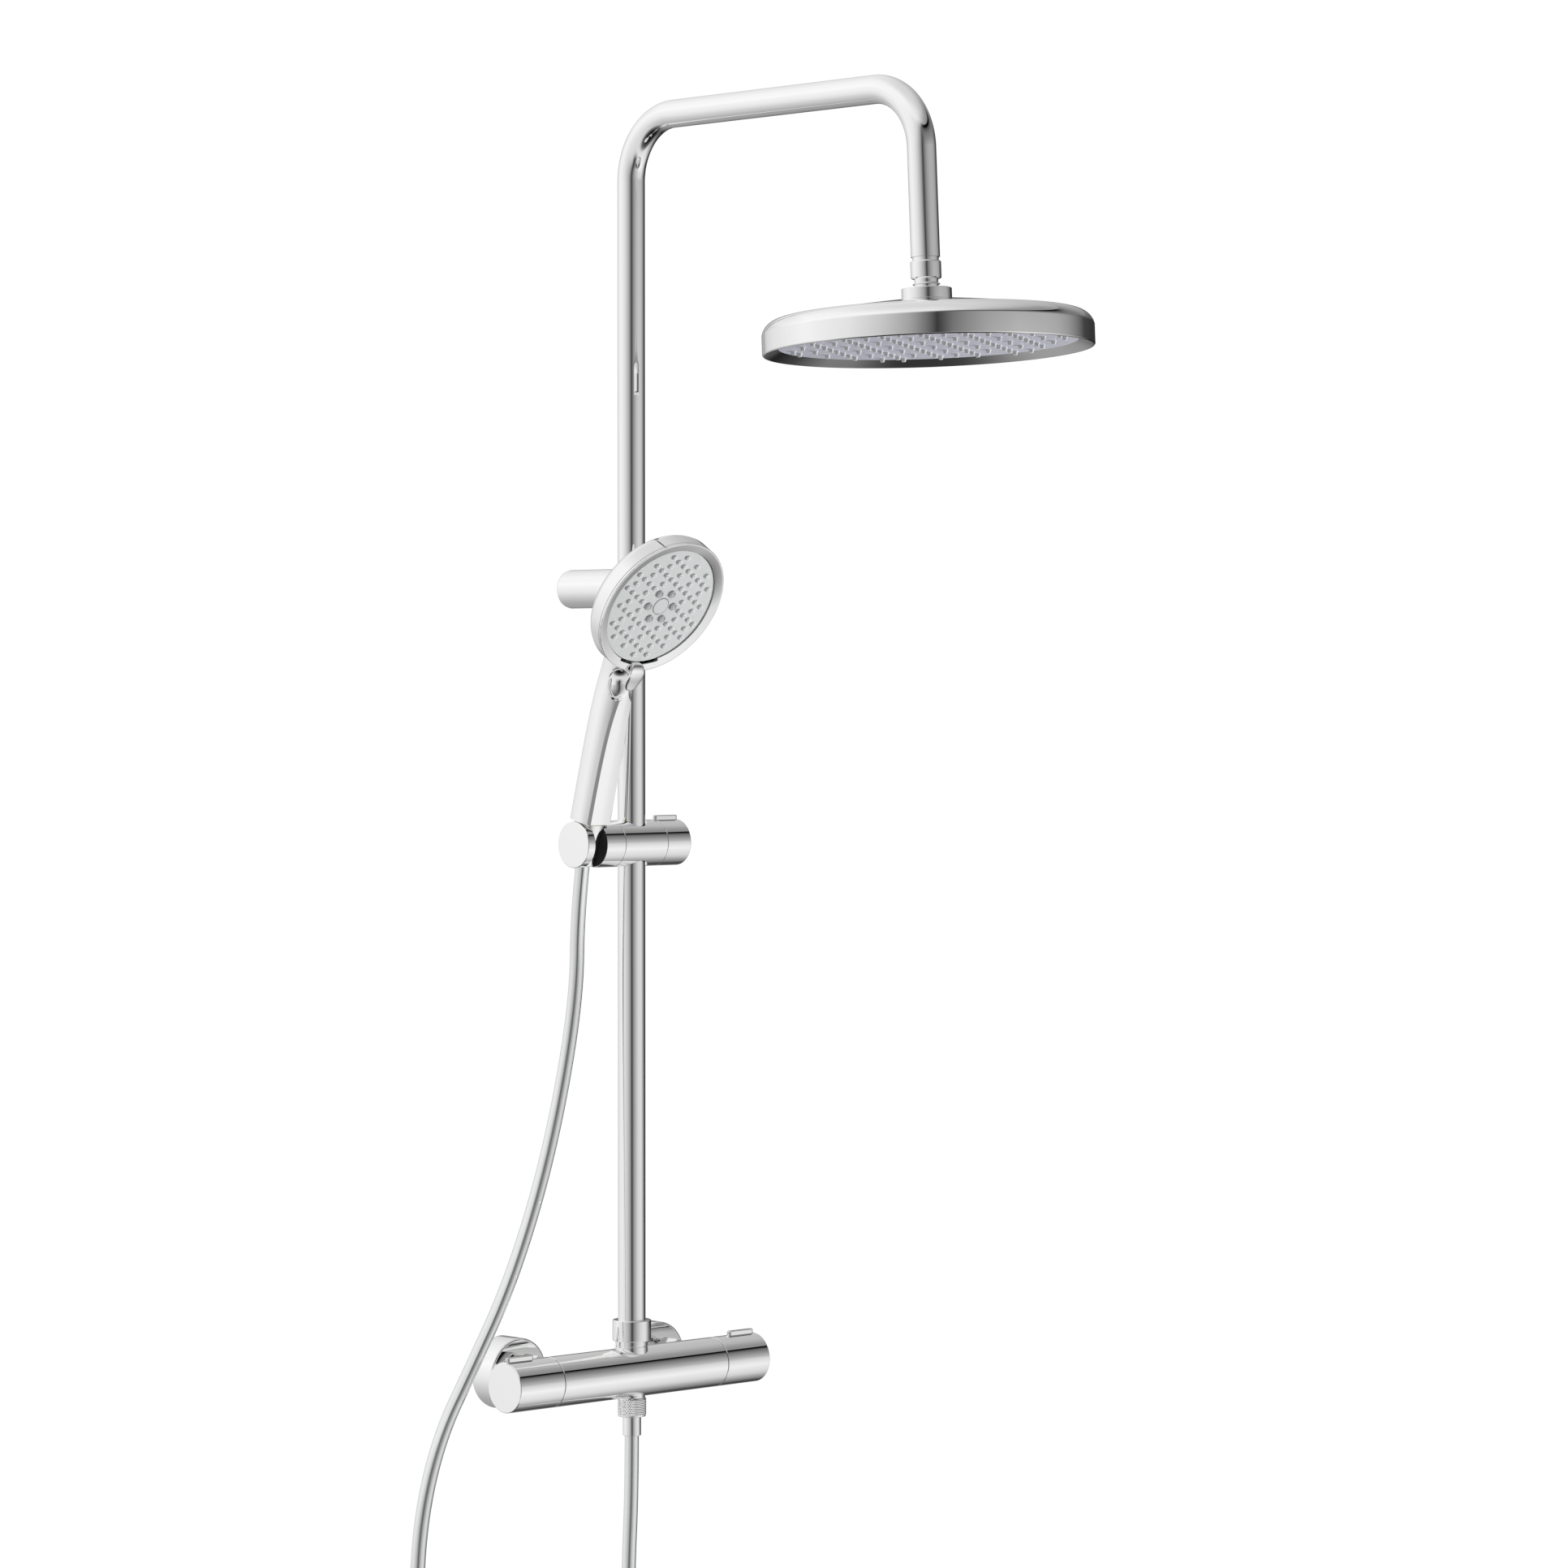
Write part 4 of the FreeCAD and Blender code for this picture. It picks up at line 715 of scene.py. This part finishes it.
def lever():
    """A tongue that comes up through the notch, over the rim and down along the neck."""
    bm = bmesh.new()
    crease = bm.edges.layers.float.new("crease_edge")
    rings = []
    for out, height, half, thick, degrees in LEVER:
        angle = math.radians(degrees)
        across = Vector((0, math.sin(angle), math.cos(angle)))
        centre = Vector((0, -out, height))
        verts = [bm.verts.new(centre + Vector((side * half, 0, 0)) + across * up * thick)
                 for side, up in ((-1, -1), (1, -1), (1, 1), (-1, 1))]
        rings.append([bm.edges.new((verts[i - 1], verts[i])) for i in range(4)])
    for low, high in zip(rings, rings[1:]):
        bmesh.ops.bridge_loops(bm, edges=low + high)
    for ring in (rings[0], rings[-1]):
        bmesh.ops.contextual_create(bm, geom=ring)
    for edge in bm.edges:
        edge[crease] = 0.25 if len(edge.link_faces) == 2 and edge.calc_face_angle(0) > 1.0 else 0.0
    bmesh.ops.recalc_face_normals(bm, faces=bm.faces)
    obj = spare(bm, "lever")
    rounding = obj.modifiers.new("rounding", "SUBSURF")
    rounding.levels = rounding.render_levels = 3
    place = SPRAY @ Matrix.Rotation(math.radians(LEVER_TURN), 4, "Z")
    piece("lever_tongue", settled_and_gone(obj), place, "chrome", "spray_selector", ["spray_lever"])


# ---------------------------------------------------------------- hose
HOSE_ROUTE = (
    (-0.0485, -0.07097, 0.4076), (-0.047, -0.063, 0.366), (-0.0435, -0.058, 0.306),
    (-0.058, -0.057, 0.229), (-0.0835, -0.059, 0.151), (-0.119, -0.062, 0.076), (-0.159, -0.065, 0.017),
    (-0.193, -0.067, -0.032), (-0.214, -0.069, -0.092), (-0.221, -0.071, -0.16), (-0.22, -0.072, -0.234),
    (-0.215, -0.073, -0.304), (-0.198, -0.0735, -0.37), (-0.16, -0.074, -0.423), (-0.104, -0.0745, -0.448),
    (-0.05, -0.0745, -0.427), (-0.02, -0.075, -0.377), (-0.009, -0.075, -0.31), (-0.005, -0.075, -0.238),
    (-0.004, -0.075, -0.16), (0, -0.075, -0.092), (0, -0.075, -0.0334),
)


def knurled_nut():
    """Nut with a band of fine raised points, each row set between those of the next."""
    foot, top, radius, rows, columns = -35.3, -20.2, 11.5, 19, 80
    band = [(radius - 0.3, foot + 1.3 + k * (top - foot - 2.4) / (rows - 1), 0) for k in range(rows)]
    nut = turned([(7.6, foot), (10.9, foot, 0.2), (radius - 0.3, foot + 0.7, 0)] + band
                 + [(radius - 0.3, top - 0.8, 0), (10.9, top, 0.2), (10.45, top), (10.45, foot + 2),
                    (7.6, foot + 2)], closed=True, steps=columns, edge=0.15)
    heights = [h for _, h, _ in band]
    for vert in nut.verts:
        around = math.hypot(vert.co.x, vert.co.y)
        if abs(around - radius + 0.3) > 0.02:
            continue
        row = min(range(rows), key=lambda k: abs(heights[k] - vert.co.z))
        if abs(heights[row] - vert.co.z) > 0.02:
            continue
        column = round(math.atan2(vert.co.y, vert.co.x) / (2 * math.pi) * columns)
        if row % 2 and (column + row // 2) % 2:
            vert.co.x *= (radius + 0.15) / around
            vert.co.y *= (radius + 0.15) / around
    return piece("knurled_nut", nut, COLUMN, "chrome", "column", ["hose_nut_lower"], crease=15)


def hose():
    cone = turned([(6.6, -16), (8.6, -16, 0.4), (11.9, 18.5, 0.2), (10.46, 18.5), (10.46, 3), (6.6, 3)],
                  closed=True, steps=96)
    piece("cone_nut", cone, HANDSET, "chrome", "swivel_nut", ["hose_cone_nut"])
    nut = knurled_nut()
    sleeve = turned([(5.75, -50.7), (7.4, -50.7, 0.5), (7.4, -33.2), (9.6, -33.2), (9.6, -32.6),
                     (5.75, -32.6)], closed=True, steps=64)
    sleeve = piece("hose_sleeve", sleeve, COLUMN, "chrome", "column", ["hose_ferrule_lower"])
    line = hose_mesh(0)
    bpy.data.meshes.remove(line)
    mesh = hose_mesh(HOSE_R * TO_METRES)
    mesh.shade_smooth()
    mesh.materials.clear()
    mesh.materials.append(FINISHES["hose_silver"])
    obj = bpy.data.objects.new("shower_hose", mesh)
    bpy.context.scene.collection.objects.link(obj)
    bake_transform(obj)
    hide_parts("hose")


def hose_mesh(radius):
    """The hose's centre line, or a tube round it, as a mesh."""
    curve = bpy.data.curves.new("hose_lay", "CURVE")
    curve.dimensions = "3D"
    spline = curve.splines.new("NURBS")
    spline.points.add(len(HOSE_ROUTE) - 1)
    for point, place in zip(spline.points, HOSE_ROUTE):
        point.co = (*place, 1)
    spline.order_u = 3
    spline.use_endpoint_u = True
    spline.resolution_u = 16
    curve.bevel_depth = radius
    curve.bevel_resolution = 10
    curve.use_fill_caps = radius > 0
    obj = bpy.data.objects.new("hose_lay", curve)
    bpy.context.scene.collection.objects.link(obj)
    bpy.context.view_layer.update()
    graph = bpy.context.evaluated_depsgraph_get()
    mesh = bpy.data.meshes.new_from_object(obj.evaluated_get(graph))
    bpy.data.objects.remove(obj)
    bpy.data.curves.remove(curve)
    return mesh


# ---------------------------------------------------------------- light, floor and camera
SKY = (  # rise of the direction, then (turn from the camera's side to its right, brightness)
    (-0.96, ((-180, 18), (0, 18), (180, 18))),
    (-0.88, ((-180, 60), (-109, 100), (0, 110), (90, 100), (160, 50), (180, 60))),
    (-0.79, ((-180, 115), (-135, 160), (-109, 184), (0, 210), (60, 220), (96, 218), (111, 200), (132, 160),
             (160, 95), (180, 115))),
    (-0.70, ((-180, 120), (-167, 150), (-135, 167), (-109, 190), (-60, 212), (0, 222), (60, 228), (96, 226),
             (111, 209), (132, 168), (160, 99), (172, 60), (180, 120))),
    (-0.52, ((-180, 120), (-167, 156), (-109, 202), (-60, 217), (-30, 214), (-14, 188), (-6, 130), (2, 40),
             (9, 84), (22, 160), (40, 222), (60, 238), (86, 236), (104, 218), (132, 158), (152, 75),
             (168, 42), (180, 120))),
    (-0.35, ((-180, 120), (-167, 160), (-109, 215), (-90, 226), (-50, 222), (-30, 212), (-14, 184),
             (-6, 140), (3, 48), (12, 84), (22, 150), (34, 214), (50, 242), (66, 252), (86, 242),
             (96, 230), (108, 214), (132, 150), (152, 60), (168, 30), (180, 120))),
    (-0.20, ((-180, 108), (-166, 170), (-150, 214), (-104, 230), (-92, 232), (-60, 222), (-37, 202),
             (-16, 168), (-8, 135), (2, 52), (6, 80), (12, 120), (24, 158), (38, 190), (53, 212), (72, 226),
             (86, 230), (97, 214), (106, 190), (119, 140), (134, 60), (150, 40), (166, 36), (180, 108))),
    (0.00, ((-180, 108), (-166, 172), (-150, 218), (-104, 236), (-92, 240), (-60, 222), (-37, 197),
            (-16, 161), (-8, 128), (2, 46), (6, 82), (12, 121), (24, 154), (38, 182), (53, 205), (70, 212),
            (86, 210), (97, 184), (106, 158), (119, 112), (134, 58), (150, 40), (166, 36), (180, 108))),
    (0.12, ((-180, 116), (-166, 176), (-140, 226), (-100, 243), (-60, 226), (-37, 199), (-16, 159),
            (-8, 126), (3, 52), (8, 86), (14, 120), (26, 146), (42, 172), (62, 186), (84, 178),
            (98, 170), (110, 150), (134, 66), (153, 54), (166, 60), (180, 116))),
    (0.25, ((-180, 150), (-164, 200), (-120, 240), (-100, 248), (-60, 232), (-34, 203), (-13, 158),
            (3, 62), (10, 92), (22, 124), (36, 146), (62, 158), (88, 156), (108, 138),
            (134, 84), (156, 100), (180, 150))),
    (0.33, ((-180, 212), (-100, 250), (-60, 237), (-31, 207), (-11, 159), (3, 76), (12, 98), (30, 128),
            (62, 138), (90, 138), (110, 128), (135, 112), (160, 155), (180, 203))),
    (0.44, ((-180, 214), (-100, 249), (-60, 240), (-30, 216), (-9, 172), (6, 94), (20, 108), (40, 116),
            (92, 118), (112, 110), (135, 122), (160, 168), (180, 202))),
    (0.515, ((-180, 216), (-101, 248), (-60, 242), (-30, 224), (-8, 186), (8, 108), (28, 86), (50, 80),
            (93, 80), (115, 80), (135, 128), (160, 176), (180, 206))),
    (0.545, ((-180, 218), (-110, 247), (-60, 243), (-26, 230), (0, 188), (16, 80), (34, 20), (60, 6),
             (95, 6), (116, 20), (136, 130), (160, 178), (180, 208))),
    (0.590, ((-180, 220), (-120, 246), (-60, 244), (-20, 234), (4, 190), (20, 80), (36, 20), (60, 4),
             (96, 4), (118, 30), (138, 140), (160, 180), (180, 210))),
    (0.604, ((-180, 221), (-120, 246), (-60, 244), (-20, 235), (6, 198), (24, 150), (60, 138), (97, 138),
             (120, 146), (140, 164), (160, 184), (180, 210))),
    (0.66, ((-180, 222), (-122, 244), (-60, 245), (0, 228), (30, 180), (60, 150), (90, 141), (108, 141),
            (128, 160), (145, 180), (160, 188), (180, 213))),
    (0.73, ((-180, 222), (-122, 242), (-60, 244), (0, 228), (40, 184), (80, 156), (114, 156), (136, 180),
            (151, 190), (160, 192), (180, 215))),
    (0.80, ((-180, 222), (-110, 240), (0, 228), (60, 190), (100, 178), (132, 184), (160, 198), (180, 216))),
    (1.00, ((-180, 215), (0, 212), (180, 215))),
)
SIDE_TURN = 42.4               # the camera's side, in degrees from -Y towards -X
CHROME_SHARE = 0.93
DIFFUSE_DIM = 0.6              # taken off the studio for matt surfaces, which the lamps light instead
BACKDROP = 1.02
FLOOR_Z = -1.05
CAMERA_PLACE = (-2.710, -3.080, 0.549)
CAMERA_DIP = 1.11              # degrees below level
CAMERA_TURN = -43.77


def linear(value):
    share = value / 255
    return ((share + 0.055) / 1.055) ** 2.4 / CHROME_SHARE


def studio_sky():
    """A soft studio: pale panels all round, with the dark gaps that give chrome its lines."""
    world = bpy.data.worlds.new("studio")
    bpy.context.scene.world = world
    world.use_nodes = True
    tree = world.node_tree
    tree.nodes.clear()

    def node(kind, **values):
        made = tree.nodes.new(kind)
        for key, value in values.items():
            setattr(made, key, value)
        return made

    def math_node(operation, a, b=None):
        made = node("ShaderNodeMath", operation=operation)
        for socket, value in zip(made.inputs, (a, b)):
            if value is None:
                continue
            if isinstance(value, (int, float)):
                socket.default_value = value
            else:
                tree.links.new(value, socket)
        return made.outputs[0]

    place = node("ShaderNodeTexCoord")
    split = node("ShaderNodeSeparateXYZ")
    tree.links.new(place.outputs["Generated"], split.inputs[0])
    x, y, z = split.outputs
    turn = math.radians(SIDE_TURN)
    ahead = math_node("ADD", math_node("MULTIPLY", x, -math.sin(turn)),
                      math_node("MULTIPLY", y, -math.cos(turn)))
    right = math_node("ADD", math_node("MULTIPLY", x, math.cos(turn)),
                      math_node("MULTIPLY", y, -math.sin(turn)))
    around = math_node("ADD", math_node("DIVIDE", math_node("ARCTAN2", right, ahead), 2 * math.pi), 0.5)
    colour = None
    below = None
    for rise, stops in SKY:
        ramp = node("ShaderNodeValToRGB")
        elements = ramp.color_ramp.elements
        while len(elements) > 1:
            elements.remove(elements[-1])
        for i, (degrees, value) in enumerate(stops):
            spot = elements[0] if i == 0 else elements.new(degrees / 360 + 0.5)
            spot.position = degrees / 360 + 0.5
            light = linear(value)
            spot.color = (light * 0.998, light, light * 0.996, 1)
        tree.links.new(around, ramp.inputs["Fac"])
        if colour is None:
            colour = ramp.outputs["Color"]
        else:
            share = node("ShaderNodeMapRange", clamp=True)
            share.inputs["From Min"].default_value = below
            share.inputs["From Max"].default_value = rise
            tree.links.new(z, share.inputs["Value"])
            mix = node("ShaderNodeMix", data_type="RGBA")
            tree.links.new(share.outputs["Result"], mix.inputs["Factor"])
            tree.links.new(colour, mix.inputs["A"])
            tree.links.new(ramp.outputs["Color"], mix.inputs["B"])
            colour = mix.outputs["Result"]
        below = rise
    sky = node("ShaderNodeBackground")
    tree.links.new(colour, sky.inputs["Color"])
    seen = node("ShaderNodeLightPath")
    dimmed = math_node("MULTIPLY", seen.outputs["Is Diffuse Ray"], DIFFUSE_DIM)
    tree.links.new(math_node("SUBTRACT", 1.0, dimmed), sky.inputs["Strength"])
    white = node("ShaderNodeBackground")
    white.inputs["Color"].default_value = (1, 1, 1, 1)
    white.inputs["Strength"].default_value = BACKDROP
    choose = node("ShaderNodeMixShader")
    output = node("ShaderNodeOutputWorld")
    tree.links.new(seen.outputs["Is Camera Ray"], choose.inputs[0])
    tree.links.new(sky.outputs[0], choose.inputs[1])
    tree.links.new(white.outputs[0], choose.inputs[2])
    tree.links.new(choose.outputs[0], output.inputs[0])


def soft_light(name, place, aim, size, power):
    light = bpy.data.lights.new(name, "AREA")
    light.shape = "DISK"
    light.size = size
    light.energy = power
    obj = bpy.data.objects.new(name, light)
    obj.location = place
    obj.rotation_euler = (Vector(aim) - Vector(place)).to_track_quat("-Z", "Y").to_euler()
    obj.visible_glossy = False
    bpy.context.scene.collection.objects.link(obj)


def pale_floor():
    bm = bmesh.new()
    bmesh.ops.create_circle(bm, cap_ends=True, segments=128, radius=2.4)
    bmesh.ops.translate(bm, vec=(0, 0, FLOOR_Z), verts=bm.verts)
    mesh = bpy.data.meshes.new("pale_floor")
    bm.to_mesh(mesh)
    bm.free()
    mesh.materials.append(finish("pale_floor", (0.86, 0.86, 0.86), 0.0, 0.7, 0.1, 0.01, 1e-5, 0.01))
    obj = bpy.data.objects.new("pale_floor", mesh)
    obj.visible_glossy = False
    bpy.context.scene.collection.objects.link(obj)


def studio_camera():
    data = bpy.data.cameras.new("camera")
    data.lens = 116.3
    data.sensor_width = 36.0
    obj = bpy.data.objects.new("camera", data)
    obj.location = CAMERA_PLACE
    obj.rotation_euler = (math.radians(90 - CAMERA_DIP), 0, math.radians(CAMERA_TURN))
    bpy.context.scene.collection.objects.link(obj)
    bpy.context.scene.camera = obj


PLATED = ("wall_union_left", "wall_union_right")       # brass under chrome
IN_THE_WALL = ("bracket_base_screw", "bracket_wall_anchor")


def carried_over():
    """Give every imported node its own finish, whether it shows or sits inside."""
    for part in frame["record"]["subparts"]:
        packed = frame["nodes"][part["node"]]
        slot = "chrome" if part["node"] in PLATED else part["material_slot"]
        for place in packed.material_slots:
            place.material = FINISHES[slot]
        packed.visible_camera = part["node"] not in IN_THE_WALL


carried_over()
mixer_barrel()
mixer_handle("right_handle", False, "temperature_control", "temperature_handle")
mixer_handle("left_handle", True, "flow_control", "flow_handle")
handle_button("right_stop_button", False, "temperature_stop", "temperature_button")
handle_button("left_stop_button", True, "flow_stop", "flow_button")
rosette("left_rosette", -1, "rosette_left")
rosette("right_rosette", 1, "rosette_right")
union_nut_pair()
riser_fittings()
wall_arm_bracket()
swept_arm()
ball_joint()
rain_head()
slider()
clamping_knob()
fork()
handset_housing()
spray_rim()
spray_face()
lever()
hose()
pale_floor()
studio_sky()
soft_light("front_fill", (-2.2, -2.6, 1.6), (0, -0.1, 0.5), 1.6, 16)
soft_light("low_key", (1.84, -1.02, -0.23), (-0.03, -0.25, 0.65), 0.2, 66)
studio_camera()
bpy.context.scene.view_settings.view_transform = "Standard"
